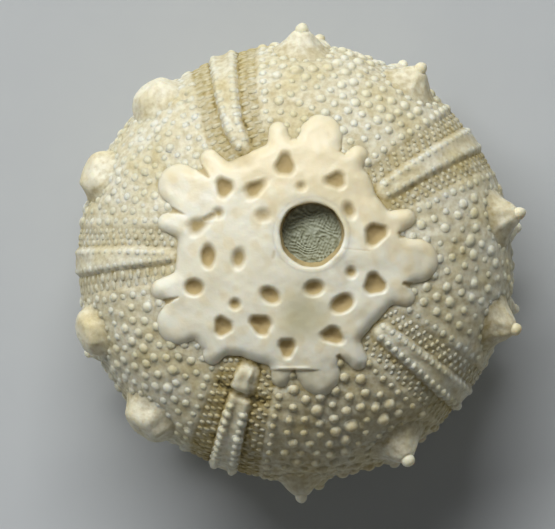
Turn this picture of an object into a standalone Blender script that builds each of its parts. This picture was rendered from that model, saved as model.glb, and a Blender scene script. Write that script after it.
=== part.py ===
# Fossil test of a small regular sea urchin, resting on its mouth side.
#
# The test is one solid: a turned dome carries a scalloped apical disc, five beaded double ridges (the
# ambulacra), cone-shaped primary tubercles with round tips, and a field of granules. Pits and the round
# periproct are cut into the disc. Hardened sediment fills the periproct above and the mouth below.
# Metres, +Z up, origin at the centre of the face that the fossil rests on.

import itertools
import math

import bmesh
import bpy
from mathutils import Matrix, Vector

MM = 0.001

# The dome: its widest ring, its height and the flat face underneath.
TEST_RADIUS = 6.10 * MM
AMBITUS_HEIGHT = 3.00 * MM
DOME_HEIGHT = 7.00 * MM
DOME_FULLNESS = 2.3
BASE_RADIUS = 3.10 * MM
PROFILE_STEPS_ABOVE = 9
PROFILE_STEPS_BELOW = 5
LATITUDE_STEP = 0.25
TURNS = 48
MERGE_DISTANCE = 1e-6

# The mouth opening in the base.
MOUTH_RADIUS = 2.50 * MM
MOUTH_DEPTH = 0.45 * MM

# The apical disc: a plate that follows the dome, with five lobes and a prong at each side of every lobe.
DISC_CENTRE = Vector((-0.17 * MM, 0.22 * MM, 0.0))
DISC_RADIUS = 3.02 * MM
DISC_THICKNESS = 0.28 * MM
DISC_ROOT = 0.60 * MM
LOBE_RADIUS = 0.61 * MM
PRONG_RADIUS = 0.27 * MM
PRONG_WIDENING = 0.16
ARM_SPREAD = 30
OUTLINE_POINTS = 180
# Each lobe: its direction and reach, then the directions and reaches of its two prongs (degrees, mm).
LOBES = (
    (77, 4.02, 94.8, 3.71, 56.7, 3.62),
    (-3, 4.20, 16.9, 3.66, -19.8, 3.72),
    (-77, 4.07, -58.5, 3.81, -94.0, 3.65),
    (-148, 4.24, -127.2, 3.80, -164.5, 3.98),
    (148, 4.20, 165.5, 3.79, 129.8, 3.72),
)

# Pits in the disc: x and y of the middle, half-length, half-width (mm), turn in degrees, and whether the
# outline is three-cornered, with one corner pointing along the turn.
PITS = (
    (-1.97, 2.08, 0.24, 0.28, 11, True),
    (-1.13, 2.03, 0.34, 0.20, 33, True),
    (-0.28, 2.73, 0.34, 0.28, 86, True),
    (0.17, 2.10, 0.12, 0.12, 0, False),
    (1.17, 2.32, 0.31, 0.24, 180, True),
    (1.51, 1.43, 0.25, 0.14, -65, False),
    (2.24, 0.77, 0.26, 0.33, 132, True),
    (1.57, -0.25, 0.13, 0.13, 0, False),
    (2.24, -0.64, 0.27, 0.25, 0, False),
    (1.32, -1.15, 0.34, 0.22, 25, False),
    (0.53, -0.70, 0.25, 0.20, 0, False),
    (-0.69, -0.92, 0.28, 0.20, -30, False),
    (-1.67, -1.18, 0.14, 0.13, 0, False),
    (-2.81, -0.73, 0.27, 0.22, 0, False),
    (-2.44, 0.17, 0.32, 0.18, 90, False),
    (-1.58, 0.10, 0.21, 0.26, 9, True),
    (-2.74, 1.01, 0.36, 0.25, 26, True),
    (-2.14, 1.36, 0.14, 0.14, 0, False),
    (-0.88, 1.29, 0.22, 0.18, 0, False),
    (-2.01, -1.80, 0.25, 0.27, 1, True),
    (-0.95, -1.75, 0.30, 0.25, 152, True),
    (-0.22, -2.39, 0.25, 0.22, -90, True),
    (1.06, -2.03, 0.22, 0.30, 76, True),
)
PIT_DEPTH = 0.32 * MM
PIT_TAPER = 0.55
PIT_SIDES = 9
ROUND_PIT_SIDES = 6
CORNER_REACH = 0.22

# The periproct, the large round hole in the disc, filled with sediment well below its rim.
PERIPROCT_CENTRE = Vector((0.46 * MM, 0.76 * MM, 0.0))
PERIPROCT_RADIUS = 0.90 * MM
PERIPROCT_EDGE = 7.23 * MM
PERIPROCT_DEPTH = 1.20 * MM
PERIPROCT_FILL_DEPTH = 0.50 * MM
PERIPROCT_RIM = 0.09 * MM

# Round hollows: the centre, the radius, the height of the closed end, then where the sediment ends and where
# the hollow opens.
HOLLOW_SIDES = 28
SHARP_ANGLE = 40
SEDIMENT_GAP = 0.02 * MM
PERIPROCT = (
    PERIPROCT_CENTRE,
    PERIPROCT_RADIUS,
    PERIPROCT_EDGE - PERIPROCT_DEPTH,
    (PERIPROCT_EDGE - PERIPROCT_FILL_DEPTH, PERIPROCT_EDGE),
)
MOUTH = (Vector((0, 0, 0)), MOUTH_RADIUS, MOUTH_DEPTH, (0.0, 0.0))

# Ambulacra: the direction of each at the edge of the disc and at the ambitus (degrees).
AMBULACRA = ((38.6, 34.6), (114.5, 109.4), (176.9, 180.1), (247.0, 250.8), (322.8, 321.8))
AMBULACRUM_INNER_RADIUS = 3.10 * MM
ROW_SPACING_TOP = 0.30 * MM
ROW_SPACING_WIDE = 0.52 * MM
ROW_BEAD_RADIUS = 0.17 * MM
ROW_BEAD_SPACING = 0.50 * MM
ROW_WAIST = 0.70
ROW_END_LATITUDE = -62

# Primary tubercles: direction, latitude on the dome (degrees) and size as a share of the largest.
TUBERCLES = (
    (88.3, 12, 1.00), (57.0, 14, 0.98), (12.2, 16, 1.00), (-17.0, 15, 1.00), (-60.3, 18, 1.06),
    (-88.5, 4, 0.92), (-133.0, 14, 1.06), (-161.0, 14, 0.92), (156.0, 12, 0.92), (130.5, 12, 0.96),
)
TUBERCLE_BASE = 0.74 * MM
TUBERCLE_NECK = 0.21 * MM
TUBERCLE_HEIGHT = 0.54 * MM
MAMELON_RADIUS = 0.21 * MM
MAMELON_LIFT = 0.60 * MM
TUBERCLE_SIDES = 12
# Smaller tubercles follow each large one down to the mouth: latitude and size.
LOWER_TUBERCLES = ((-22, 0.84), (-40, 0.66), (-55, 0.48))
LOWER_DRIFT = 0.72

# Granules.
GRANULE_RADIUS = 0.18 * MM
GRANULE_SPACING = 0.62 * MM
ADRADIAL_OFFSET = 1.05 * MM
ADRADIAL_SPACING = 0.50 * MM
COLUMN_SPACING = 0.60 * MM
GRANULE_COLUMNS = 4
GRANULE_END_LATITUDE = -12
GRANULE_CLEARANCE = 0.10 * MM
LEAST_SPACING_SHARE = 0.7

# Share of the triangles that stays once the slivers left by the unions are thinned out.
KEPT_SHARE = 0.40

CALCITE = ((0.66, 0.60, 0.45, 1.0), 0.62)
SEDIMENT = ((0.27, 0.28, 0.20, 1.0), 0.85)


def clear_scene():
    for obj in list(bpy.data.objects):
        bpy.data.objects.remove(obj, do_unlink=True)
    for collection in list(bpy.data.collections):
        bpy.data.collections.remove(collection)


def new_collection(name):
    collection = bpy.data.collections.new(name)
    bpy.context.scene.collection.children.link(collection)
    return collection


def new_material(name, finish):
    colour, roughness = finish
    material = bpy.data.materials.new(name)
    material.use_nodes = True
    shader = material.node_tree.nodes["Principled BSDF"]
    shader.inputs["Base Color"].default_value = colour
    shader.inputs["Roughness"].default_value = roughness
    shader.inputs["Metallic"].default_value = 0.0
    material.diffuse_color = colour
    return material


def new_object(name, mesh, collection):
    obj = bpy.data.objects.new(name, mesh)
    collection.objects.link(obj)
    return obj


def object_from_bmesh(name, shape, collection):
    mesh = bpy.data.meshes.new(name)
    shape.to_mesh(mesh)
    shape.free()
    return new_object(name, mesh, collection)


def as_helper(obj):
    obj.hide_render = True
    obj.display_type = "WIRE"
    return obj


def add_boolean(obj, operation, collection):
    modifier = obj.modifiers.new(operation.title(), "BOOLEAN")
    modifier.operation = operation
    modifier.operand_type = "COLLECTION"
    modifier.collection = collection
    modifier.solver = "MANIFOLD"


# The dome.


def dome_profile(latitude):
    """Radius and height at a latitude: 90 is the top, 0 the ambitus and -90 the edge of the flat base."""
    angle = math.radians(abs(latitude))
    if latitude >= 0:
        power = 2 / DOME_FULLNESS
        radius = TEST_RADIUS * max(math.cos(angle), 0.0) ** power
        return radius, AMBITUS_HEIGHT + (DOME_HEIGHT - AMBITUS_HEIGHT) * math.sin(angle) ** power
    radius = BASE_RADIUS + (TEST_RADIUS - BASE_RADIUS) * math.cos(angle)
    return radius, AMBITUS_HEIGHT * (1 - math.sin(angle))


def dome_top(x, y):
    """Height of the upper dome above a point of the plan."""
    share = min(math.hypot(x, y) / TEST_RADIUS, 1.0)
    rise = (1 - share**DOME_FULLNESS) ** (1 / DOME_FULLNESS)
    return AMBITUS_HEIGHT + (DOME_HEIGHT - AMBITUS_HEIGHT) * rise


def latitude_at(radius):
    return math.degrees(math.acos((radius / TEST_RADIUS) ** (DOME_FULLNESS / 2)))


def surface_point(direction, latitude):
    """A point on the dome and the outward normal there."""
    radius, height = dome_profile(latitude)
    radius_above, height_above = dome_profile(min(latitude + LATITUDE_STEP, 90))
    radius_below, height_below = dome_profile(latitude - LATITUDE_STEP)
    across = Vector((height_above - height_below, radius_below - radius_above)).normalized()
    turn = Matrix.Rotation(math.radians(direction), 3, "Z")
    normal = turn @ Vector((across.x, 0, across.y))
    return turn @ Vector((radius, 0, height)), normal


def latitudes_by_distance(start, end, spacing):
    """Latitudes from start down to end that lie at equal distances along the dome."""
    found = [start]
    walked = 0.0
    latitude = start
    last = Vector(dome_profile(start))
    while latitude > end:
        latitude -= LATITUDE_STEP
        point = Vector(dome_profile(latitude))
        walked += (point - last).length
        last = point
        if walked >= spacing:
            found.append(latitude)
            walked = 0.0
    return found


def turned(name, profile, collection):
    """A solid of revolution from (radius, height) points that run down its outer side."""
    mesh = bpy.data.meshes.new(name)
    points = [(radius, 0, height) for radius, height in profile]
    mesh.from_pydata(points, [(i, i + 1) for i in range(len(points) - 1)], [])
    obj = new_object(name, mesh, collection)
    screw = obj.modifiers.new("Screw", "SCREW")
    screw.steps = TURNS
    screw.render_steps = TURNS
    screw.use_merge_vertices = True
    screw.merge_threshold = MERGE_DISTANCE
    return obj


def corona_profile():
    above = [dome_profile(90 * (1 - i / PROFILE_STEPS_ABOVE)) for i in range(PROFILE_STEPS_ABOVE)]
    below = [dome_profile(-90 * i / PROFILE_STEPS_BELOW) for i in range(PROFILE_STEPS_BELOW + 1)]
    return above + below + [(0.0, 0.0)]


# The apical disc.


def disc_reach(direction):
    """Radius of the disc's edge, from the disc's own centre, in a direction given in degrees."""
    reach = DISC_RADIUS
    for lobe, lobe_reach, prong_a, reach_a, prong_b, reach_b in LOBES:
        arms = (
            (lobe, lobe_reach * MM, LOBE_RADIUS, 0.0),
            (prong_a, reach_a * MM, PRONG_RADIUS, PRONG_WIDENING),
            (prong_b, reach_b * MM, PRONG_RADIUS, PRONG_WIDENING),
        )
        for heading, tip, tip_radius, widening in arms:
            offset = math.radians((direction - heading + 180) % 360 - 180)
            if abs(offset) < math.radians(ARM_SPREAD):
                reach = max(reach, arm_reach(offset, tip - tip_radius, tip_radius, widening))
    return reach


def arm_reach(offset, length, tip_radius, widening):
    """Radius at which a ray at this angle leaves an arm with a round tip that widens towards its root."""
    sideways = length * math.sin(offset)
    if abs(sideways) < tip_radius:
        return length * math.cos(offset) + math.sqrt(tip_radius**2 - sideways**2)
    slope = math.tan(abs(offset)) + widening
    return (tip_radius + widening * length) / (slope * math.cos(offset))


def disc_outline():
    points = []
    for i in range(OUTLINE_POINTS):
        direction = 360 * i / OUTLINE_POINTS
        turn = Matrix.Rotation(math.radians(direction), 3, "Z")
        points.append(DISC_CENTRE + turn @ Vector((disc_reach(direction), 0, 0)))
    return points


def mesh_of_curve(obj):
    """The curve's own shape as a mesh with its caps welded on."""
    bpy.context.view_layer.update()
    graph = bpy.context.evaluated_depsgraph_get()
    mesh = bpy.data.meshes.new_from_object(obj.evaluated_get(graph))
    shape = bmesh.new()
    shape.from_mesh(mesh)
    bmesh.ops.remove_doubles(shape, verts=shape.verts, dist=MERGE_DISTANCE)
    bmesh.ops.recalc_face_normals(shape, faces=shape.faces)
    shape.to_mesh(mesh)
    shape.free()
    return mesh


def replace_curve(obj, collection):
    mesh = mesh_of_curve(obj)
    name = obj.name
    placed = obj.matrix_world.copy()
    bpy.data.objects.remove(obj, do_unlink=True)
    made = new_object(name, mesh, collection)
    made.matrix_world = placed
    return made


def make_disc(growths, cutters):
    """The part of a thicker dome that lies inside the scalloped outline."""
    dome = corona_profile()[: PROFILE_STEPS_ABOVE - 1]
    top = [(radius, height + DISC_THICKNESS) for radius, height in dome]
    floor = top[-1][1] - DISC_ROOT
    disc = turned("disc", top + [(top[-1][0], floor), (0.0, floor)], growths)
    curve = bpy.data.curves.new("disc_outline", "CURVE")
    curve.dimensions = "2D"
    curve.fill_mode = "BOTH"
    curve.extrude = DOME_HEIGHT
    spline = curve.splines.new("POLY")
    outline = disc_outline()
    spline.points.add(len(outline) - 1)
    for point, place in zip(spline.points, outline):
        point.co = (place.x, place.y, 0, 1)
    spline.use_cyclic_u = True
    outline_tool = replace_curve(new_object("disc_outline", curve, cutters), cutters)
    outline_tool.location.z = DOME_HEIGHT
    as_helper(outline_tool)
    trim = disc.modifiers.new("Outline", "BOOLEAN")
    trim.operation = "INTERSECT"
    trim.object = outline_tool
    trim.solver = "EXACT"
    return as_helper(disc)


def make_pit(place, cutters):
    x, y, half_length, half_width, turn, three_cornered = place
    shape = bmesh.new()
    sides = PIT_SIDES if three_cornered else ROUND_PIT_SIDES
    depth = 2 * PIT_DEPTH
    bmesh.ops.create_cone(shape, cap_ends=True, segments=sides, radius1=PIT_TAPER, radius2=1.0, depth=depth)
    for vertex in shape.verts:
        angle = math.atan2(vertex.co.y, vertex.co.x)
        reach = 1 + CORNER_REACH * math.cos(3 * angle) if three_cornered else 1.0
        vertex.co.x *= reach * half_length * MM
        vertex.co.y *= reach * half_width * MM
    pit = object_from_bmesh("pit", shape, cutters)
    pit.rotation_euler.z = math.radians(turn)
    pit.location = (x * MM, y * MM, dome_top(x * MM, y * MM) + DISC_THICKNESS)
    return as_helper(pit)


def make_periproct_rim(growths):
    """A low rounded rim around the periproct."""
    centre, radius, _, (_, surface) = PERIPROCT
    bpy.ops.mesh.primitive_torus_add(
        major_radius=radius + PERIPROCT_RIM / 2,
        minor_radius=PERIPROCT_RIM,
        major_segments=HOLLOW_SIDES,
        minor_segments=6,
        location=(centre.x, centre.y, surface - PERIPROCT_RIM / 3),
    )
    rim = bpy.context.object
    rim.name = "periproct_rim"
    for collection in rim.users_collection:
        collection.objects.unlink(rim)
    growths.objects.link(rim)
    return as_helper(rim)


# Round hollows and the sediment in them.


def round_block(name, radius, bottom, top, centre, collection):
    shape = bmesh.new()
    bmesh.ops.create_cone(
        shape, cap_ends=True, segments=HOLLOW_SIDES, radius1=radius, radius2=radius, depth=top - bottom
    )
    obj = object_from_bmesh(name, shape, collection)
    obj.location = (centre.x, centre.y, (bottom + top) / 2)
    return obj


def make_hollow(name, hollow, cutters):
    """A cutter that runs from the closed end of a hollow out past its open end."""
    centre, radius, closed_end, (_, open_end) = hollow
    past = open_end + (open_end - closed_end)
    return as_helper(round_block(name, radius, min(closed_end, past), max(closed_end, past), centre, cutters))


def make_fill(name, hollow, parts):
    """A plug of hardened sediment, a hair smaller than the hollow that it fills."""
    centre, radius, closed_end, (fill_end, open_end) = hollow
    inner_end = closed_end + math.copysign(SEDIMENT_GAP, open_end - closed_end)
    ends = sorted((inner_end, fill_end))
    fill = round_block(name, radius - SEDIMENT_GAP, ends[0], ends[1], centre, parts)
    fill.data.shade_smooth()
    fill.data.set_sharp_from_angle(angle=math.radians(SHARP_ANGLE))
    fill.data.materials.append(new_material(name, SEDIMENT))
    return fill


# The ambulacra.


def ambulacrum_direction(ambulacrum, radius, latitude):
    """Direction in degrees of an ambulacrum's middle line, which swings a little from disc to ambitus."""
    at_disc, at_ambitus = ambulacrum
    if latitude <= 0:
        return at_ambitus
    share = (radius - AMBULACRUM_INNER_RADIUS) / (TEST_RADIUS - AMBULACRUM_INNER_RADIUS)
    return at_disc + (at_ambitus - at_disc) * max(0.0, min(share, 1.0))


def direction_beside(ambulacrum, offset, latitude):
    radius, _ = dome_profile(latitude)
    return ambulacrum_direction(ambulacrum, radius, latitude) + math.degrees(offset / radius)


def beside_ambulacrum(ambulacrum, offset, latitude):
    """A point at this distance to the side of an ambulacrum's middle line."""
    return surface_point(direction_beside(ambulacrum, offset, latitude), latitude)[0]


def make_bead_row(ambulacrum, side, growths):
    """One row of beads: a tube along the dome whose radius swells and narrows with every bead."""
    start = latitude_at(AMBULACRUM_INNER_RADIUS)
    curve = bpy.data.curves.new("bead_row", "CURVE")
    curve.dimensions = "3D"
    curve.bevel_depth = ROW_BEAD_RADIUS
    curve.bevel_resolution = 1
    curve.use_fill_caps = True
    latitudes = latitudes_by_distance(start, ROW_END_LATITUDE, ROW_BEAD_SPACING / 2)
    spline = curve.splines.new("POLY")
    spline.points.add(len(latitudes) - 1)
    for i, (point, latitude) in enumerate(zip(spline.points, latitudes)):
        share = min(max((start - latitude) / start, 0.0), 1.0)
        spacing = ROW_SPACING_TOP + (ROW_SPACING_WIDE - ROW_SPACING_TOP) * share
        place = beside_ambulacrum(ambulacrum, side * spacing / 2, latitude)
        point.co = (place.x, place.y, place.z, 1)
        point.radius = 1.0 if i % 2 else ROW_WAIST
    return as_helper(replace_curve(new_object("bead_row", curve, growths), growths))


# Tubercles and granules.


def stand_on(obj, direction, latitude, scale=1.0):
    """Places an object whose own +Z points out of the dome, with its origin on the surface."""
    place, normal = surface_point(direction, latitude)
    turn = normal.to_track_quat("Z", "Y").to_matrix().to_4x4()
    obj.matrix_world = Matrix.Translation(place) @ turn @ Matrix.Scale(scale, 4)
    return as_helper(obj)


def tubercle_meshes():
    """The cone of a primary tubercle and the round mamelon on its tip, each sunk into what carries it."""
    sunk = TUBERCLE_HEIGHT / 2
    cone = bmesh.new()
    bmesh.ops.create_cone(
        cone,
        cap_ends=True,
        segments=TUBERCLE_SIDES,
        radius1=TUBERCLE_BASE + (TUBERCLE_BASE - TUBERCLE_NECK) * sunk / TUBERCLE_HEIGHT,
        radius2=TUBERCLE_NECK,
        depth=TUBERCLE_HEIGHT + sunk,
        matrix=Matrix.Translation((0, 0, (TUBERCLE_HEIGHT - sunk) / 2)),
    )
    mamelon = bmesh.new()
    tip = Matrix.Translation((0, 0, MAMELON_LIFT))
    bmesh.ops.create_uvsphere(mamelon, u_segments=8, v_segments=6, radius=MAMELON_RADIUS, matrix=tip)
    meshes = []
    for name, shape in (("tubercle_cone", cone), ("mamelon", mamelon)):
        mesh = bpy.data.meshes.new(name)
        shape.to_mesh(mesh)
        shape.free()
        meshes.append(mesh)
    return meshes


def tubercle_places():
    """Direction, latitude and size of every primary tubercle, from the ambitus down to the mouth."""
    places = list(TUBERCLES)
    for direction, _, size in TUBERCLES:
        middle = 72 * round(direction / 72)
        for latitude, lower_size in LOWER_TUBERCLES:
            places.append((middle + (direction - middle) * LOWER_DRIFT, latitude, size * lower_size))
    return places


def make_tubercles(growths):
    cone, mamelon = tubercle_meshes()
    for direction, latitude, size in tubercle_places():
        stand_on(new_object("tubercle_cone", cone, growths), direction, latitude, size)
        stand_on(new_object("mamelon", mamelon, growths), direction, latitude, size)


def clear_of_disc(point):
    away = point - DISC_CENTRE
    direction = math.degrees(math.atan2(away.y, away.x))
    return math.hypot(away.x, away.y) > disc_reach(direction) + GRANULE_RADIUS + GRANULE_CLEARANCE


def inside_area(point, neighbour_point, side):
    """True while a column that starts at one ambulacrum hasn't crossed the one that starts at the next."""
    across = point.x * neighbour_point.y - point.y * neighbour_point.x
    return side * across > 0


def granule_places():
    """Columns of granules: one beside every ambulacrum, and more that fill the areas between ambulacra."""
    tubercles = []
    for direction, latitude, size in tubercle_places():
        tubercles.append((surface_point(direction, latitude)[0], TUBERCLE_BASE * size))
    start = latitude_at(AMBULACRUM_INNER_RADIUS)
    places = []
    points = []
    for column in range(GRANULE_COLUMNS):
        offset = ADRADIAL_OFFSET + column * COLUMN_SPACING
        spacing = GRANULE_SPACING if column else ADRADIAL_SPACING
        latitudes = latitudes_by_distance(start, GRANULE_END_LATITUDE, spacing)
        for number, ambulacrum in enumerate(AMBULACRA):
            for side, latitude in itertools.product((1, -1), latitudes):
                neighbour = AMBULACRA[(number + side) % len(AMBULACRA)]
                point = beside_ambulacrum(ambulacrum, side * offset, latitude)
                if not inside_area(point, beside_ambulacrum(neighbour, -side * offset, latitude), side):
                    continue
                if not clear_of_disc(point) or near_any(point, tubercles):
                    continue
                if all((point - other).length > GRANULE_SPACING * LEAST_SPACING_SHARE for other in points):
                    points.append(point)
                    places.append((direction_beside(ambulacrum, side * offset, latitude), latitude))
    return places


def near_any(point, tubercles):
    return any((point - middle).length < base + GRANULE_RADIUS / 2 for middle, base in tubercles)


def make_granules(growths):
    shape = bmesh.new()
    bmesh.ops.create_icosphere(shape, subdivisions=1, radius=GRANULE_RADIUS)
    mesh = bpy.data.meshes.new("granule")
    shape.to_mesh(mesh)
    shape.free()
    for direction, latitude in granule_places():
        stand_on(new_object("granule", mesh, growths), direction, latitude)


# The three pieces.


def main():
    clear_scene()
    parts = new_collection("fossil_sea_urchin")
    growths = new_collection("growths")
    cutters = new_collection("cutters")
    hollows = new_collection("hollows")

    test = turned("test", corona_profile(), parts)
    test.data.materials.append(new_material("calcite", CALCITE))
    make_disc(growths, cutters)
    for ambulacrum in AMBULACRA:
        for side in (1, -1):
            make_bead_row(ambulacrum, side, growths)
    make_tubercles(growths)
    make_granules(growths)
    for place in PITS:
        make_pit(place, hollows)
    make_periproct_rim(growths)
    make_hollow("periproct", PERIPROCT, hollows)
    make_hollow("mouth", MOUTH, hollows)
    add_boolean(test, "UNION", growths)
    thin = test.modifiers.new("Thin out", "DECIMATE")
    thin.ratio = KEPT_SHARE
    add_boolean(test, "DIFFERENCE", hollows)

    make_fill("periproct_sediment", PERIPROCT, parts)
    make_fill("peristome_sediment", MOUTH, parts)


main()
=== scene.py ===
# Fossil test of a small regular sea urchin, lying on its mouth side.
# Lengths are millimetres until a mesh is made.
import math

import bpy
import numpy as np
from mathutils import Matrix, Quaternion, Vector, kdtree


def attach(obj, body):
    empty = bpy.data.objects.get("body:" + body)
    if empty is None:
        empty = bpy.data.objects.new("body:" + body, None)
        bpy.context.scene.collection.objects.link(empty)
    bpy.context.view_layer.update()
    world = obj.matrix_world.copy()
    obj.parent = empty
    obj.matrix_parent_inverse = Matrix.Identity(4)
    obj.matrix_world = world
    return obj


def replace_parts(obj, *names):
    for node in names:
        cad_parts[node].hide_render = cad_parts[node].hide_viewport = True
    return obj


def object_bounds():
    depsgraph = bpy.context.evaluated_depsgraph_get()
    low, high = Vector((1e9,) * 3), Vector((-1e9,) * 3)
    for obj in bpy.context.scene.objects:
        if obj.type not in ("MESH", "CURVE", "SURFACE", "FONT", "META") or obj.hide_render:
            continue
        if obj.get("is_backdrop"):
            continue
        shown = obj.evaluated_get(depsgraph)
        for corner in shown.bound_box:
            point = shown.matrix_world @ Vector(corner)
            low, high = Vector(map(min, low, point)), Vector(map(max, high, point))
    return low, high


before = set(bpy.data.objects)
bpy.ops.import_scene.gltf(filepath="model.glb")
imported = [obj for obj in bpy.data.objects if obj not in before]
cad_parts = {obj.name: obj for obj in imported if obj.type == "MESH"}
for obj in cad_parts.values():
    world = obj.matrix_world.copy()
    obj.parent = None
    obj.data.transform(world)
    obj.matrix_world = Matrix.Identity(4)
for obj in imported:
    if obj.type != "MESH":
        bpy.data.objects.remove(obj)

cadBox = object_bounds()
metresPerMm = 0.001
turn = 2 * math.pi
sides = (-1, 1)  # clockwise and anticlockwise of an ambulacrum's axis
farAway = 9.0


def linearColour(hexCode):  # sRGB hex to the linear values that shaders take
    channels = [int(hexCode[i:i + 2], 16) / 255 for i in (0, 2, 4)]
    linear = [c / 12.92 if c <= 0.04045 else ((c + 0.055) / 1.055) ** 2.4 for c in channels]
    return (*linear, 1.0)


def softStep(low, high, value):
    share = np.clip((value - low) / (high - low), 0.0, 1.0)
    return share * share * (3 - 2 * share)


def plateau(rise, fall, value):  # 0, then 1 between the two slopes, then 0 again
    return softStep(*rise, value) * (1 - softStep(*fall, value))


def hump(value, width):  # 1 at 0, fading on both sides
    return np.exp(-(value / width) ** 2)


def unevenness(points, wavelength, seed):  # soft random relief, mostly between -1 and 1
    count = 16
    draw = np.random.RandomState(seed)
    waves = draw.normal(size=(count, 3))
    waves /= np.linalg.norm(waves, axis=1, keepdims=True)
    waves *= turn / wavelength * draw.uniform(0.7, 1.4, (count, 1))
    phases = draw.uniform(0, turn, count)
    total = np.zeros(len(points))
    for wave, phase in zip(waves, phases):
        total += np.sin(points @ wave + phase)
    return total / math.sqrt(count)


# The corona: one turned form, given by the distance walked down it from the apex.

corona = {
    "radius": 6.10,  # widest ring, at the ambitus
    "ambitusHeight": 3.00,
    "height": 7.00,
    "fullness": 2.3,  # 2 makes the dome an ellipse, more makes it squarer
    "baseRadius": 3.10,
    "mouthRadius": 2.50,
    "mouthDepth": 0.45,
    "mouthLip": ((-0.25, 0.0), (0.04, 0.0), (0.0, 0.03), (0.0, 0.20)),  # out from base or mouth, and up
    "azimuthSteps": 760,
    "meridianSteps": 116,
    "meridianSamples": 7201,
    "hiddenRings": 8,  # under the disc
    "hiddenWalks": (0.35, 2.75),  # distance of the first from the apex, and radius of the last
    "shownRadius": 2.80,
    # How far the crown is sunk under the disc, and at what distances from its centre each drop fades.
    "crownDrops": ((0.30, 2.72, 2.98), (1.5, 2.0, 2.75)),
    "apexDrop": 1.8,
    "flatFoot": (0.9, 0.1),  # the relief fades out over this stretch before the base
}


def meridian():  # distance from the apex, radius, height and outward normal down one meridian
    latitude = np.radians(np.linspace(90, -90, corona["meridianSamples"]))
    power = 2 / corona["fullness"]
    cosine = np.clip(np.cos(latitude), 0, 1)
    sine = np.abs(np.sin(latitude))
    rise = corona["height"] - corona["ambitusHeight"]
    above = latitude >= 0
    tuck = corona["radius"] - corona["baseRadius"]
    radius = np.where(above, corona["radius"] * cosine ** power, corona["baseRadius"] + tuck * cosine)
    height = corona["ambitusHeight"] + np.where(above, rise * sine ** power, -corona["ambitusHeight"] * sine)
    walked = np.concatenate([[0], np.cumsum(np.hypot(np.diff(radius), np.diff(height)))])
    outwards = -np.gradient(height, walked)
    upwards = np.gradient(radius, walked)
    length = np.hypot(outwards, upwards)
    return walked, radius, height, outwards / length, upwards / length


walked, radiusAlong, heightAlong, outAlong, upAlong = meridian()
ambitusWalk = walked[int(np.argmax(radiusAlong))]
baseWalk = walked[-1]


def coronaRadius(walk):
    return np.interp(walk, walked, radiusAlong)


def walkAtRadius(radius):  # on the upper side
    top = walked <= ambitusWalk
    return np.interp(radius, radiusAlong[top], walked[top])


def walkAtLatitude(latitude):
    return np.interp(latitude, np.linspace(-90, 90, corona["meridianSamples"]), walked[::-1])


def coronaFrames(walk, azimuth):  # place, outward normal, downhill and sideways directions
    radius = coronaRadius(walk)
    height = np.interp(walk, walked, heightAlong)
    out = np.interp(walk, walked, outAlong)
    up = np.interp(walk, walked, upAlong)
    cosine, sine = np.cos(azimuth), np.sin(azimuth)
    place = np.stack([radius * cosine, radius * sine, height], axis=-1)
    normal = np.stack([out * cosine, out * sine, up], axis=-1)
    downhill = np.stack([up * cosine, up * sine, -out], axis=-1)
    sideways = np.stack([-sine, cosine, np.zeros_like(sine)], axis=-1)
    return place, normal, downhill, sideways


def domeTop(x, y):
    share = np.clip(np.hypot(x, y) / corona["radius"], 0, 1)
    rise = (1 - share ** corona["fullness"]) ** (1 / corona["fullness"])
    return corona["ambitusHeight"] + (corona["height"] - corona["ambitusHeight"]) * rise


# Ambulacra: five double ridges of beads between two pore zones.

ambulacra = {
    # Heading of each axis at the disc and at the ambitus, and the radius at which it starts to turn.
    "axes": ((38.6, 34.6), (114.5, 109.4), (176.9, 180.1), (246.7, 250.7), (321.4, 320.9)),
    "bendStart": (3.1, 4.2, 3.1, 3.1, 3.1),
    "innerRadius": 3.10,
    "discSpacing": (0.28, 0.14, 0.08, 0.30, 0.26),  # between each one's bead rows at the disc
    "rowSpacing": (0.52, 0.34),  # at the ambitus and the mouth
    "halfWidth": (0.80, 1.02, 0.66),  # of ridge and pore zones: at the disc, the ambitus and the mouth
    "widening": (1.0, 1.0, 1.0, 1.08, 1.0),
    "shoulder": 0.08,  # ridge outside the middle of a bead row
    "ridgeHeight": (0.042, 0.050, 0.044, 0.054, 0.046),
    "ridgeFlank": (-0.07, 0.12),  # the ridge falls away over this stretch, from its edge
    "ropeHeight": (0.024, 0.032, 0.024, 0.036, 0.028),  # each row of beads stands on a low rope
    "ropeWidth": 0.118,
    "betweenWidth": 0.08,  # of the silted line between the two ropes
    "zoneDepth": 0.025,
    "zoneFlank": (-0.12, 0.02),
    "grooveDepth": 0.030,  # of the groove beside the ridge
    "grooveOffset": 0.13,
    "grooveWidth": 0.07,
    # How deep and silted that groove is, on each ridge's clockwise and anticlockwise side.
    "grooveSides": ((0.48, 0.25), (0.75, 0.55), (0.25, 0.48), (0.60, 0.62), (0.62, 0.25)),
    "zoneSiltAndShade": (0.15, 0.19, 0.01, 0.27, 0.09),  # extra silt in each one's pore zones, with painted shade added on the lowest one (number 3)
    "ridgeSoil": (0.06, 0.06, 0.02, -0.02, -0.03),  # extra silt on its ridge
    "tipGap": (0.05, 0.30),  # the ridge rises over this distance from the disc's edge
    "headLength": 0.42,  # the two ropes close in to one round head
}


def alongAmbulacrum(walk, values):  # a value at the disc, the ambitus and the mouth
    radius = coronaRadius(walk)
    above = np.interp(radius, [ambulacra["innerRadius"], corona["radius"]], values[:2])
    below = np.interp(walk, [ambitusWalk, baseWalk], values[1:])
    return np.where(walk <= ambitusWalk, above, below)


def ambulacrumAxis(number, walk):
    top, wide = (math.radians(a) for a in ambulacra["axes"][number])
    radius = np.where(walk <= ambitusWalk, coronaRadius(walk), corona["radius"])
    return np.interp(radius, [ambulacra["bendStart"][number], corona["radius"]], [top, wide])


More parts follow.
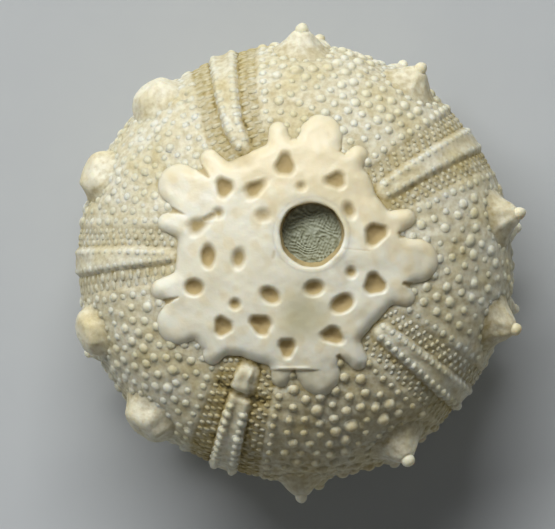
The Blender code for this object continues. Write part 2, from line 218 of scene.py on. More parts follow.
def ambulacrumOffset(walk, azimuth):  # signed distance sideways from the nearest axis, and which one
    offsets = []
    for number in range(5):
        angle = azimuth - ambulacrumAxis(number, walk)
        offsets.append(coronaRadius(walk) * ((angle + math.pi) % turn - math.pi))
    offsets = np.array(offsets)
    nearest = np.argmin(np.abs(offsets), axis=0)
    return np.take_along_axis(offsets, nearest[None], 0)[0], nearest


def rowSpacing(walk, number):  # between the two bead rows
    atDisc = np.array(ambulacra["discSpacing"])[number] * alongAmbulacrum(walk, (1.0, 0.0, 0.0))
    return atDisc + alongAmbulacrum(walk, (0.0, *ambulacra["rowSpacing"]))


def ridgeEdge(walk, number):
    return rowSpacing(walk, number) / 2 + ambulacra["shoulder"]


def zoneEdge(walk, number):  # where the pore zone ends
    return alongAmbulacrum(walk, ambulacra["halfWidth"]) * np.array(ambulacra["widening"])[number]


def headShare(clear):  # 0 at the tip of a ridge's head, 1 where it has its full width
    share = np.clip((clear - ambulacra["tipGap"][0]) / ambulacra["headLength"], 0, 1)
    return np.sqrt(share * (2 - share))


# The apical disc: a star-shaped plate that follows the dome.

disc = {
    "centre": (-0.17, 0.22),
    # Heading and radius of the edge between the arms.
    "notches": (
        (34, 2.91), (45, 3.12), (67, 3.20), (86.5, 3.20), (112, 3.02), (139, 3.10), (180, 3.11),
        (226.5, 3.58), (245, 3.13), (292, 3.16), (320, 3.05), (347, 3.30),
    ),
    "bridging": 0.14,  # clefts between arms that are narrower than twice this are filled and silted
    "brokenEdge": ((-0.42, -2.78), (0.34, -2.78)),  # a bar that closes the gap above the broken lobe
    "brokenHalfWidth": 0.22,
    "lobeRadius": 0.61,
    "prongRadius": 0.27,
    "prongWidening": 0.16,
    "spread": 30,  # degrees to each side that an arm can reach
    # Lobe direction and reach, then those of its two prongs.
    "lobes": (
        (74.9, 4.03, 95.0, 3.71, 55.2, 3.64),
        (-3, 4.18, 16.9, 3.68, -20.4, 3.74),
        (-76.2, 4.06, -57.0, 3.80, -93.6, 3.73),
        (-148, 4.24, -127.2, 3.80, -164.5, 3.98),
        (148, 4.20, 165.5, 3.79, 129.8, 3.72),
    ),
}


def armReach(offset, length, tipRadius, widening):
    sideways = np.abs(length * np.sin(offset))
    onTip = length * np.cos(offset) + np.sqrt(np.clip(tipRadius ** 2 - sideways ** 2, 0, None))
    slope = np.tan(np.abs(offset)) + widening
    onSide = (tipRadius + widening * length) / np.maximum(slope * np.cos(offset), 1e-6)
    return np.where(sideways < tipRadius, onTip, onSide)


def discReach(azimuth):  # radius of the edge from the disc's own centre
    headings, radii = zip(*disc["notches"])
    reach = np.interp(np.degrees(azimuth), headings, radii, period=360)
    for lobe, lobeReach, prongA, reachA, prongB, reachB in disc["lobes"]:
        arms = (
            (lobe, lobeReach, disc["lobeRadius"], 0.0),
            (prongA, reachA, disc["prongRadius"], disc["prongWidening"]),
            (prongB, reachB, disc["prongRadius"], disc["prongWidening"]),
        )
        for heading, tip, tipRadius, widening in arms:
            offset = (azimuth - math.radians(heading) + math.pi) % turn - math.pi
            found = armReach(offset, tip - tipRadius, tipRadius, widening)
            reach = np.where(np.abs(offset) < math.radians(disc["spread"]), np.maximum(reach, found), reach)
    return reach


def pastDiscEdge(x, y):  # how far a point of the plan lies outside the disc, along the radius
    fromCentre = np.asarray(x) - disc["centre"][0], np.asarray(y) - disc["centre"][1]
    return np.hypot(*fromCentre) - discReach(np.arctan2(fromCentre[1], fromCentre[0]))


def clearOfDisc(walk, place):  # the same for places on the corona, where only the upper side counts
    return np.where(walk < ambitusWalk, pastDiscEdge(place[..., 0], place[..., 1]), farAway)


# Meshes.

def gridFaces(rows, columns, wrap=False):
    across = np.arange(columns if wrap else columns - 1)
    down = np.arange(rows - 1)[:, None] * columns
    after = (across + 1) % columns
    corners = (down + across, down + across + columns, down + after + columns, down + after)
    return np.stack([np.broadcast_to(c, (rows - 1, len(across))) for c in corners], axis=-1).reshape(-1, 4)


def capFan(first, columns, tip, flip=False):  # triangles from one ring of a wrapped grid to a tip
    across = np.arange(columns)
    ring, after = first + across, first + (across + 1) % columns
    ends = (after, ring) if flip else (ring, after)
    return np.stack([*ends, np.full(columns, tip)], axis=-1)


def addPiece(name, points, faceSets, material, fields, slot="calcite", body="root"):
    mesh = bpy.data.meshes.new(name)
    faces = [face for faceSet in faceSets for face in faceSet.tolist()]
    mesh.from_pydata((points * metresPerMm).tolist(), [], faces)
    mesh.shade_smooth()
    for field, values in fields.items():
        layer = mesh.attributes.new(field, "FLOAT", "POINT")
        layer.data.foreach_set("value", np.ascontiguousarray(values, dtype=np.float32))
    mesh.materials.append(material)
    piece = bpy.data.objects.new(name, mesh)
    bpy.context.scene.collection.objects.link(piece)
    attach(piece, body)
    mesh.calc_loop_triangles()
    print(f"{name}: {len(mesh.loop_triangles)} triangles")
    return piece


def turnedShape(profile, top, bottom, segments):  # points, quads and the two fans of a closed turned form
    radius, height = np.array(profile).T
    spin = turn * np.arange(segments) / segments
    points = np.stack([
        np.outer(radius, np.cos(spin)),
        np.outer(radius, np.sin(spin)),
        np.outer(height, np.ones(segments)),
    ], axis=-1).reshape(-1, 3)
    tip, foot = len(points), len(points) + 1
    points = np.vstack([points, [[0, 0, top], [0, 0, bottom]]])
    last = (len(profile) - 1) * segments
    fans = np.vstack([capFan(0, segments, tip), capFan(last, segments, foot, flip=True)])
    return points, gridFaces(len(profile), segments, wrap=True), fans


def ball(segments, rings):
    tilt = np.pi * np.arange(1, rings) / rings
    return turnedShape(list(zip(np.sin(tilt), np.cos(tilt))), 1, -1, segments)


def joinedCopies(shape, frames, sizes):  # one set of points and faces for many copies of a shape
    points, quads, fans = shape
    place, normal, downhill, sideways = frames
    along = points[None, :, 0:1] * sizes[:, None, 0:1] * downhill[:, None]
    across = points[None, :, 1:2] * sizes[:, None, 1:2] * sideways[:, None]
    out = points[None, :, 2:3] * sizes[:, None, 2:3] * normal[:, None]
    made = (place[:, None] + along + across + out).reshape(-1, 3)
    shift = (np.arange(len(place)) * len(points))[:, None, None]
    return made, (quads[None] + shift).reshape(-1, 4), (fans[None] + shift).reshape(-1, 3)


# Materials.

def addNode(tree, kind, settings=None, links=None):
    node = tree.nodes.new(kind)
    for name, value in (settings or {}).items():
        if isinstance(name, str) and hasattr(node, name):  # a setting of the node, or else a socket
            setattr(node, name, value)
        else:
            node.inputs[name].default_value = value
    for socket, source in (links or {}).items():
        tree.links.new(source, node.inputs[socket])
    return node


def perMm(size):  # noise scale for a feature of this size, in the object's own metres
    return 1 / (size * metresPerMm)


def newMaterial(name, looks):
    material = bpy.data.materials.new(name)
    material.use_nodes = True
    shader = material.node_tree.nodes["Principled BSDF"]
    shader.inputs["Roughness"].default_value = looks["roughness"]
    shader.inputs["IOR"].default_value = looks["ior"]
    if "glow" in looks:  # light that spreads below the surface, to a depth in mm
        shader.inputs["Subsurface Weight"].default_value = looks["glow"]
        shader.inputs["Subsurface Radius"].default_value = looks["glowTint"]
        shader.inputs["Subsurface Scale"].default_value = looks["glowDepth"] * metresPerMm
    return material, material.node_tree, shader


def siltOver(tree, shader, looks, place, clean):  # ragged silt in the hollows, over the clean colour; the soil field also carries some painted shade and a painted highlight
    soil = addNode(tree, "ShaderNodeAttribute", {"attribute_name": "soil"}).outputs["Fac"]
    mottle = addNode(tree, "ShaderNodeTexNoise", {"Scale": perMm(looks["mottleSize"]), "Detail": 4.0},
                     {"Vector": place})
    strength, shift = looks["mottle"]
    ragged = addNode(tree, "ShaderNodeMath", {"operation": "MULTIPLY_ADD", 1: strength, 2: shift},
                     {0: mottle.outputs["Fac"]})
    soiled = addNode(tree, "ShaderNodeMath", {"operation": "ADD", "use_clamp": True},
                     {0: soil, 1: ragged.outputs["Value"]}).outputs["Value"]
    colour = clean
    for silt in ("silt", "deepSilt"):
        low, high = looks[silt + "Range"]
        span = {"From Min": low, "From Max": high}
        share = addNode(tree, "ShaderNodeMapRange", span, {"Value": soiled})
        colour = addNode(tree, "ShaderNodeMix", {"data_type": "RGBA", 7: linearColour(looks[silt])},
                         {0: share.outputs["Result"], 6: colour}).outputs[2]
    tree.links.new(colour, shader.inputs["Base Color"])
    mattRange = {"To Min": looks["roughness"], "To Max": looks["siltRoughness"]}
    matt = addNode(tree, "ShaderNodeMapRange", mattRange, {"Value": soiled})
    tree.links.new(matt.outputs["Result"], shader.inputs["Roughness"])


def addPores(tree, shader, looks, place):  # fine pores that only tilt the light
    poreLooks = {"Scale": perMm(looks["poreSize"]), "Detail": looks["poreDetail"]}
    pores = addNode(tree, "ShaderNodeTexNoise", poreLooks,
                    {"Vector": place})
    depth = looks["poreDepth"] * metresPerMm
    tilt = addNode(tree, "ShaderNodeBump", {"Strength": looks["poreStrength"], "Distance": depth},
                   {"Height": pores.outputs["Fac"]})
    tree.links.new(tilt.outputs["Normal"], shader.inputs["Normal"])


# Weathered calcite: cream stereom, dull, with brown silt held in every hollow, and painted shade in the same
# browns low on the sides and on the lower parts.
weatheredLooks = {
    "clean": "F1EDD5",
    "stained": "E1D6AC",
    "silt": "AC985C",
    "deepSilt": "6A5F38",
    "stainRange": (0.40, 0.68),
    "siltRange": (0.08, 0.85),
    "deepSiltRange": (0.80, 1.0),
    "stainSize": 1.1,
    "mottleSize": 0.16,
    "mottle": (1.1, -0.54),
    "poreSize": 0.085,  # stereom pores, drawn coarser than life so that they show
    "poreDetail": 2.0,
    "poreDepth": 0.022,
    "poreStrength": 0.6,
    "roughness": 0.50,
    "siltRoughness": 0.90,
    "ior": 1.56,
    "glow": 0.6,
    "glowTint": (1.0, 0.85, 0.62),
    "glowDepth": 0.22,
}


def weatheredCalcite():
    looks = weatheredLooks
    material, tree, shader = newMaterial("weatheredFossilCalcite", looks)
    place = addNode(tree, "ShaderNodeTexCoord").outputs["Object"]
    stain = addNode(tree, "ShaderNodeTexNoise", {"Scale": perMm(looks["stainSize"]), "Detail": 3.0},
                    {"Vector": place})
    low, high = looks["stainRange"]
    span = {"From Min": low, "From Max": high}
    share = addNode(tree, "ShaderNodeMapRange", span, {"Value": stain.outputs["Fac"]})
    tones = {6: linearColour(looks["clean"]), 7: linearColour(looks["stained"])}
    clean = addNode(tree, "ShaderNodeMix", {"data_type": "RGBA", **tones}, {0: share.outputs["Result"]})
    siltOver(tree, shader, looks, place, clean.outputs[2])
    addPores(tree, shader, looks, place)
    return material


# Apical plates: denser calcite worn smooth, almost ivory, greyer where it is sunken.
plateLooks = {
    "ivory": "F6F4E2",
    "cream": "F3E7C3",
    "grey": "C6C09C",
    "silt": "B8A574",
    "deepSilt": "B49F70",
    "creamRange": (0.55, 1.75),
    "siltRange": (0.03, 0.62),
    "deepSiltRange": (0.66, 1.0),
    "cloudSize": 1.6,
    "cloudStrength": 1.6,
    "mottleSize": 0.22,
    "mottle": (0.22, -0.11),
    "poreSize": 0.075,
    "poreDetail": 2.0,
    "poreDepth": 0.011,
    "poreStrength": 0.5,
    "roughness": 0.44,
    "siltRoughness": 0.95,
    "ior": 1.56,
    "glow": 0.5,
    "glowTint": (1.0, 0.85, 0.62),
    "glowDepth": 0.22,
}


def smoothPlates():
    looks = plateLooks
    material, tree, shader = newMaterial("smoothWornCalcitePlates", looks)
    place = addNode(tree, "ShaderNodeTexCoord").outputs["Object"]
    dull, warm = (addNode(tree, "ShaderNodeAttribute", {"attribute_name": field}).outputs["Fac"]
                  for field in ("dull", "warm"))
    cloud = addNode(tree, "ShaderNodeTexNoise", {"Scale": perMm(looks["cloudSize"]), "Detail": 3.0},
                    {"Vector": place})
    cloudy = addNode(tree, "ShaderNodeMath", {"operation": "MULTIPLY_ADD", 1: looks["cloudStrength"]},
                     {0: cloud.outputs["Fac"], 2: warm})
    low, high = looks["creamRange"]
    span = {"From Min": low, "From Max": high}
    share = addNode(tree, "ShaderNodeMapRange", span, {"Value": cloudy.outputs["Value"]})
    tones = {6: linearColour(looks["ivory"]), 7: linearColour(looks["cream"])}
    body = addNode(tree, "ShaderNodeMix", {"data_type": "RGBA", **tones}, {0: share.outputs["Result"]})
    greyed = addNode(tree, "ShaderNodeMix", {"data_type": "RGBA", 7: linearColour(looks["grey"])},
                     {0: dull, 6: body.outputs[2]})
    siltOver(tree, shader, looks, place, greyed.outputs[2])
    addPores(tree, shader, looks, place)
    return material


# Hardened marl: grey-green mud turned to stone, matt, with paler limy ripples.
marlLooks = {
    "mud": "8C8F76",
    "lime": "B0B5A1",
    "ochre": "9A8558",
    "limeRange": (0.12, 0.50),
    "patchSize": 0.5,
    "poreSize": 0.05,
    "poreDetail": 3.0,
    "poreDepth": 0.012,
    "poreStrength": 0.7,
    "roughness": 0.72,
    "ior": 1.50,
}


def hardenedMarl():
    looks = marlLooks
    material, tree, shader = newMaterial("hardenedGreyMarl", looks)
    place = addNode(tree, "ShaderNodeTexCoord").outputs["Object"]
    crest, soil = (addNode(tree, "ShaderNodeAttribute", {"attribute_name": field}).outputs["Fac"]
                   for field in ("crest", "soil"))
    patch = addNode(tree, "ShaderNodeTexNoise", {"Scale": perMm(looks["patchSize"]), "Detail": 4.0},
                    {"Vector": place})
    ripple = addNode(tree, "ShaderNodeMath", {"operation": "MULTIPLY"}, {0: crest, 1: patch.outputs["Fac"]})
    low, high = looks["limeRange"]
    span = {"From Min": low, "From Max": high}
    share = addNode(tree, "ShaderNodeMapRange", span, {"Value": ripple.outputs["Value"]})
    tones = {6: linearColour(looks["mud"]), 7: linearColour(looks["lime"])}
    body = addNode(tree, "ShaderNodeMix", {"data_type": "RGBA", **tones}, {0: share.outputs["Result"]})
    edged = addNode(tree, "ShaderNodeMix", {"data_type": "RGBA", 7: linearColour(looks["ochre"])},
                    {0: soil, 6: body.outputs[2]})
    tree.links.new(edged.outputs[2], shader.inputs["Base Color"])
    addPores(tree, shader, looks, place)
    return material


calcite = weatheredCalcite()
plates = smoothPlates()
marl = hardenedMarl()
print("materials made")


# Primary tubercles: where each one stands.

tubercles = {
    # Direction, latitude, size, and how far the tip is worn: 0 for a cone with its boss, 1 for a blunt dome.
    "upper": (
        (88.3, 12, 1.00, 0), (57.0, 14, 0.98, 0), (12.2, 16, 1.00, 0), (-17.0, 15, 1.00, 0),
        (-60.3, 18, 1.06, 0), (-88.5, 4, 0.92, 0), (-133.0, 14, 1.06, 1), (-161.0, 14, 0.92, 1),
        (156.0, 12, 0.92, 1), (130.5, 12, 0.96, 1),
    ),
    "lower": ((-22, 0.84), (-40, 0.66), (-55, 0.48)),  # latitude and size of each smaller one below
    "drift": 0.72,  # share of the way from the plate's middle that is left further down
    "base": 0.74,
    # Distance from the axis and lift, foot to tip, for size 1.
    "domeProfile": (
        (1.06, -0.10), (0.96, -0.035), (0.88, 0.008), (0.81, 0.060), (0.755, 0.125), (0.705, 0.195),
        (0.655, 0.270),
        (0.605, 0.345), (0.55, 0.410), (0.48, 0.452), (0.39, 0.470), (0.28, 0.482), (0.16, 0.490),
        (0.04, 0.492),
    ),
    "coneProfile": (
        (1.06, -0.10), (0.95, -0.040), (0.85, -0.005), (0.76, 0.035), (0.67, 0.085), (0.585, 0.145),
        (0.505, 0.215),
        (0.43, 0.290), (0.365, 0.362), (0.305, 0.428), (0.255, 0.475), (0.215, 0.502), (0.186, 0.508),
    ),
    "bossRadius": 0.186,
    "bossLift": 0.556,
    "bossTilts": range(104, 0, -12),  # degrees from its top
    "tipSoils": (0.1, 0.5),  # at the tip and at the hidden root
    "seeds": (40, 70, 90),
    "root": 0.25,  # how deep the closed foot goes under the ground
    # Height and wavelength of the two reliefs: at first on a cone, and how much more on a dome.
    "coarse": ((0.010, 0.35), (0.022, 0.30)),
    "fine": (0.006, 0.17),  # domes only
    "smoothFoot": (0.0, 0.2),
    "flutes": 0.016,  # height of the faint ribs down a cone
    "fluteCount": 7,
    "fluteSpan": ((0.02, 0.15), (0.30, 0.48)),
    "footSoil": (0.22, 0.30),  # silt at the foot, and how high it reaches
    "flankSoil": (0.22, 0.35, 0.66),  # on a cone's flank, fading over these heights
    "wornCleaner": 0.10,
    "blotch": (0.05, 0.5),
    "segments": 56,
}


def tuberclePlaces():
    places = []
    for direction, latitude, size, worn in tubercles["upper"]:
        places.append((math.radians(direction), walkAtLatitude(latitude), size, worn))
        middle = 72 * round(direction / 72)
        for step, (lowerLatitude, lowerSize) in enumerate(tubercles["lower"], start=1):
            lowerDirection = middle + (direction - middle) * tubercles["drift"] ** step
            places.append((math.radians(lowerDirection), walkAtLatitude(lowerLatitude), lowerSize, 0))
    return places


tuberclePlaced = tuberclePlaces()


def surfaceDistance(walk, azimuth, walkAt, azimuthAt):
    place = coronaFrames(walk, azimuth)[0]
    return np.linalg.norm(place - coronaFrames(np.array(walkAt), np.array(azimuthAt))[0], axis=-1)


# Granules: where each pearl sits. Rows follow the nearest ambulacrum.

granules = {
    "mediumBeads": (  # x, y and radius of the larger beads beside the tubercles
        (0.08, -5.60, 0.185), (2.46, -4.40, 0.215), (3.53, -4.26, 0.165), (-3.84, -4.03, 0.175),
        (-3.25, -5.04, 0.165), (-3.56, -3.53, 0.180), (0.01, 5.35, 0.190), (-3.22, -4.56, 0.150),
        (1.33, 5.90, 0.175), (2.27, 5.60, 0.170), (-4.49, 4.07, 0.165), (-5.00, 3.41, 0.150),
        (-5.20, 3.08, 0.165),
    ),
    # In the five interambulacra, anticlockwise from the top.
    "spacing": (0.345, 0.300, 0.350, 0.405, 0.380),
    "radiusShare": (0.385, 0.395, 0.395, 0.375, 0.370),  # of the spacing
    "standing": (0.72, 0.52, 0.62, 0.84, 0.58),  # height share
    "groundSiltAndShade": (-0.07, -0.12, -0.10, 0.05, -0.13),  # silt between the pearls, against the usual, with painted shade: darker on the lower interambulacrum, paler on the upper ones
    "pearlSiltAndShade": (0.03, 0.03, 0.09, 0.38, 0.14),  # and on them, silt with the same painted shade, darkest on the lowest
    "growth": 1.12,  # spacing at the ambitus against that at the disc
    "belowGrowth": 1.25,  # and at the mouth
    "sizeSpread": 0.24,
    "bottom": -0.5,
    "siltedFoot": (0.0, 0.66),
    "split": 0.25,  # how far below the ambitus the upper piece ends
    "firstRadius": 2.9,  # of the corona, just under the disc
    "ringGap": 0.17,  # from a tubercle to the ring of granules round it
    "ringPitch": 0.36,
    "ringRadius": (0.70, 0.30),  # share that every ring has, and share that grows with its tubercle
    "ringSize": 0.128,
    "ringJitter": 0.14,
    "ringSpread": (0.8, 1.2),
    "adradialGap": 0.13,  # from the pore zone to the row beside it
    "adradialRadius": (0.108, 0.138, 0.120),
    "adradialPitch": (0.300, 0.375, 0.360),
    "adradialJitter": 0.03,
    "adradialSpread": (0.84, 1.14),
    "adradialStep": (0.92, 1.08),
    "zoneGap": 0.02,  # least distances from a pore zone, the disc and the foot of a tubercle
    "discGap": 0.02,
    "footGap": 0.08,
    "touching": 0.95,  # least distance of two ordered granules, as a share of their radii
    "tries": 26000,
    "crowding": 0.80,  # least distance at the first throw, as a share of the spacing
    "settling": 24,  # rounds in which neighbours push each other apart
    "push": 0.22,
    "pushReach": 1.12,
    "stride": 0.08,
    "lowest": 1.3,  # height of a pearl's middle above the base, at least, in radii
    "sink": -0.10,  # how far a pearl stands above the ground, as a share of its radius
    "segments": 12,
    # Distance from the axis and lift of a pearl of radius 1, from its top down to the soft foot.
    "profile": (
        (0.36, 0.80), (0.62, 0.62), (0.80, 0.38), (0.92, 0.17), (1.06, 0.03), (1.30, -0.07), (1.25, -0.30),
    ),
    "top": 0.87,
    "seed": 11,
}


def inInterambulacrum(walk, azimuth, key):  # each place's value from the five of the area it lies in
    offset, number = ambulacrumOffset(walk, azimuth)
    return np.array(granules[key])[np.where(offset > 0, number, number - 1) % 5]


def granuleSpacing(walk, azimuth):
    growth = alongAmbulacrum(walk, (1.0, granules["growth"], granules["belowGrowth"]))
    return inInterambulacrum(walk, azimuth, "spacing") * growth


def ringGranules(draw):  # round each tubercle
    for azimuth, walk, size, worn in tuberclePlaced:
        around = tubercles["base"] * size + granules["ringGap"]
        count = int(turn * around / granules["ringPitch"])
        always, grows = granules["ringRadius"]
        radius = granules["ringSize"] * (always + grows * size)
        for number in range(count):
            angle = turn * (number + draw.uniform(-granules["ringJitter"], granules["ringJitter"])) / count
            ringWalk = walk + around * math.cos(angle)
            ringAzimuth = azimuth + around * math.sin(angle) / coronaRadius(ringWalk)
            yield ringWalk, ringAzimuth, radius * draw.uniform(*granules["ringSpread"])


def adradialGranules(draw):  # the row beside each ambulacrum
    jitter = granules["adradialJitter"]
    for number in range(5):
        for side in sides:
            walk = float(walkAtRadius(granules["firstRadius"]))
            while walk < baseWalk:
                offset = float(zoneEdge(walk, number)) + granules["adradialGap"]
                offset += draw.uniform(-jitter, jitter)
                azimuth = ambulacrumAxis(number, walk) + side * offset / coronaRadius(walk)
                size = float(alongAmbulacrum(walk, granules["adradialRadius"]))
                yield walk, azimuth, size * draw.uniform(*granules["adradialSpread"])
                pitch = float(alongAmbulacrum(walk, granules["adradialPitch"]))
                walk += pitch * draw.uniform(*granules["adradialStep"])


def orderedGranules(draw):
    spots = granules["mediumBeads"]
    medium = [(walkAtRadius(math.hypot(x, y)), math.atan2(y, x), size) for x, y, size in spots]
    return [*medium, *ringGranules(draw), *adradialGranules(draw)]


def roomForGranule(walk, azimuth, size):
    place = coronaFrames(walk, azimuth)[0]
    offset, number = ambulacrumOffset(walk, azimuth)
    room = np.abs(offset) > zoneEdge(walk, number) + granules["zoneGap"]
    room &= place[..., 2] > size * granules["lowest"]
    room &= clearOfDisc(walk, place) > granules["discGap"]
    for azimuthAt, walkAt, tubercleSize, worn in tuberclePlaced:
        foot = tubercles["base"] * tubercleSize + granules["footGap"]
        room &= surfaceDistance(walk, azimuth, walkAt, azimuthAt) > foot
    return room


def throwGranules(draw, walk, azimuth, spacing, room, taken):  # accepts a place where none is too near
    place = coronaFrames(walk, azimuth)[0]
    accepted = list(range(taken))
    for index in np.flatnonzero(room):
        if index >= taken:
            gaps = np.linalg.norm(place[accepted] - place[index], axis=1)
            least = granules["crowding"] * (spacing[accepted] + spacing[index]) / 2
            if np.any(gaps < least):
                continue
            accepted.append(index)
    return np.array(accepted)


def settleGranules(walk, azimuth, size, spacing, still):  # evens out the gaps of all but the first ones
    stride = granules["stride"]
    for number in range(granules["settling"]):
        place, normal, downhill, sideways = coronaFrames(walk, azimuth)
        apart = place[still:, None] - place[None]
        gap = np.linalg.norm(apart, axis=-1) + 1e-9
        wanted = (spacing[still:, None] + spacing[None]) / 2
        push = np.clip(wanted * granules["pushReach"] - gap, 0, None) * (gap > 1e-6)
        shift = granules["push"] * np.sum(apart / gap[..., None] * push[..., None], axis=1)
        steps = (np.sum(shift * way[still:], axis=-1) for way in (downhill, sideways))
        down, along = (np.clip(step, -stride, stride) for step in steps)
        newWalk, newAzimuth = walk.copy(), azimuth.copy()
        newWalk[still:] += down
        newAzimuth[still:] += along / coronaRadius(walk[still:])
        free = roomForGranule(newWalk, newAzimuth, size)
        free[:still] = False
        walk = np.where(free, newWalk, walk)
        azimuth = np.where(free, newAzimuth, azimuth)
    return walk, azimuth


def granulePlaces():
    draw = np.random.RandomState(granules["seed"])
    walk, azimuth, size = np.array(orderedGranules(draw), dtype=float).T
    ordered = np.flatnonzero(roomForGranule(walk, azimuth, size))
    place = coronaFrames(walk, azimuth)[0]
    kept = []
    for index in ordered:
        gaps = np.linalg.norm(place[kept] - place[index], axis=1)
        if np.all(gaps > granules["touching"] * (size[kept] + size[index])):
            kept.append(index)
    walk, azimuth, size = walk[kept], azimuth[kept], size[kept]
    tries = granules["tries"]
    depth = draw.uniform(float(walkAtRadius(granules["firstRadius"])), baseWalk, tries)
    likely = draw.uniform(0, 1, tries) < coronaRadius(depth) / corona["radius"]
    around = draw.uniform(-math.pi, math.pi, tries)
    walk = np.concatenate([walk, depth[likely]])
    azimuth = np.concatenate([azimuth, around[likely]])
    spacing = granuleSpacing(walk, azimuth)
    drawn = (spacing * inInterambulacrum(walk, azimuth, "radiusShare"))[len(kept):]
    drawn = drawn * draw.uniform(1 - granules["sizeSpread"], 1 + granules["sizeSpread"], len(drawn))
    size = np.concatenate([size, drawn])
    room = roomForGranule(walk, azimuth, size)
    accepted = throwGranules(draw, walk, azimuth, spacing, room, len(kept))
    walk, azimuth, size, spacing = (values[accepted] for values in (walk, azimuth, size, spacing))
    walk, azimuth = settleGranules(walk, azimuth, size, spacing, len(kept))
    return np.stack([walk, azimuth, size], axis=-1)


granulePlaced = granulePlaces()
print(f"{len(granulePlaced)} granules placed")


# Relief of the corona, along its outward normal.

relief = {
    "soil": 0.36,  # silt on plain ground, and what each form adds to it
    "ridgeSoil": -0.22,
    "ropeSoil": -0.05,
    "betweenSoil": 0.04,
    "grooveSoil": 0.38,
    "furrowShare": 0.1,  # of a pore zone's silt and painted shade, between the ropes
    "groundStart": (-0.05, 0.1),  # about the edge of a pore zone
    "scrobicule": 0.05,  # depth of the sunken ring round a tubercle
    "scrobiculeGap": 0.03,
    "scrobiculeWidth": 0.11,
    "scrobiculeSoil": 0.10,
    "mound": 0.020,  # low swelling under each granule
    "moundWidth": 0.16,
    "moundSoil": -0.06,
    "waves": ((0.012, 0.45, 3), (0.02, 1.8, 4)),  # height, wavelength and seed
    "paintedLowShade": 0.13,  # painted shade: the sides are darkened between these heights, as the light falls off lower down
    "paintedLowShadeRise": (0.5, 2.0),
    "paintedLowShadeFall": (2.6, 5.6),
    "discSoil": 0.20,  # in the gap beside the disc
    "discGap": (0.0, 0.14),
    "hiddenSoil": 0.55,
}

# A loose plate lies across one ambulacrum, with the broken end of the ridge beyond it.
wornPlate = {
    "ambulacrum": 3,
    "inner": 3.16,
    "outer": 3.94,
    "innerRise": 0.14,
    "outerFall": (-0.10, 0.03),
    "sideFall": (-0.07, 0.05),
    "halfWidth": 0.27,
    "narrowed": 0.20,  # share of the width that it lacks at its inner end
    "margin": (0.015, 0.3, 10),  # height, wavelength and seed of what makes it uneven
    "shift": -0.09,  # it has slipped sideways
    "height": 0.120,
    "rough": (0.012, 0.28, 9),
    "clean": 0.40,
    "blotch": (0.06, 0.22, 13),
    "bareMargin": 0.10,  # the ridge is missing this far beyond the plate's ends
    "bareSoil": 0.20,
    "breakRadius": 4.01,
    "breakWidth": 0.075,
    "breakReach": 0.75,  # to each side of the axis
    "breakMiddle": (0.75, 0.14, 0.26),  # share of its depth on the axis, growing to all over these distances
    "ridgeBreak": 0.15,
    "groundBreak": 0.05,
    "breakSoil": 0.72,
    "firstBead": 4.30,  # radius at which the bead rows start again
}


def waves(place, settings):
    height, wavelength, seed = settings
    return height * unevenness(place, wavelength, seed)


def wornPlateRelief(walk, place, offset, ridge, onRidge):  # change of lift and of silt
    radius = coronaRadius(walk)
    inner, outer = wornPlate["inner"], wornPlate["outer"]
    margin = wornPlate["bareMargin"]
    narrowed = 1 - wornPlate["narrowed"] * (1 - softStep(inner, outer, radius))
    halfWidth = wornPlate["halfWidth"] * narrowed + waves(place, wornPlate["margin"])
    plate = softStep(inner, inner + wornPlate["innerRise"], radius)
    plate = plate * (1 - softStep(*wornPlate["outerFall"], radius - outer))
    plate = plate * (1 - softStep(*wornPlate["sideFall"], np.abs(offset - wornPlate["shift"]) - halfWidth))
    bare = plateau((inner - margin, inner), (outer, outer + margin), radius)
    atAxis, start, end = wornPlate["breakMiddle"]
    distance = np.abs(offset)
    crack = hump(radius - wornPlate["breakRadius"], wornPlate["breakWidth"])
    crack = crack * (distance < wornPlate["breakReach"])
    crack = crack * (atAxis + (1 - atAxis) * softStep(start, end, distance))
    lift = (wornPlate["height"] + waves(place, wornPlate["rough"])) * plate - ridge * bare
    lift -= (wornPlate["ridgeBreak"] * onRidge * (1 - bare) + wornPlate["groundBreak"]) * crack
    soil = wornPlate["bareSoil"] * onRidge * bare + wornPlate["breakSoil"] * crack
    return lift, soil - (wornPlate["clean"] + waves(place, wornPlate["blotch"])) * plate


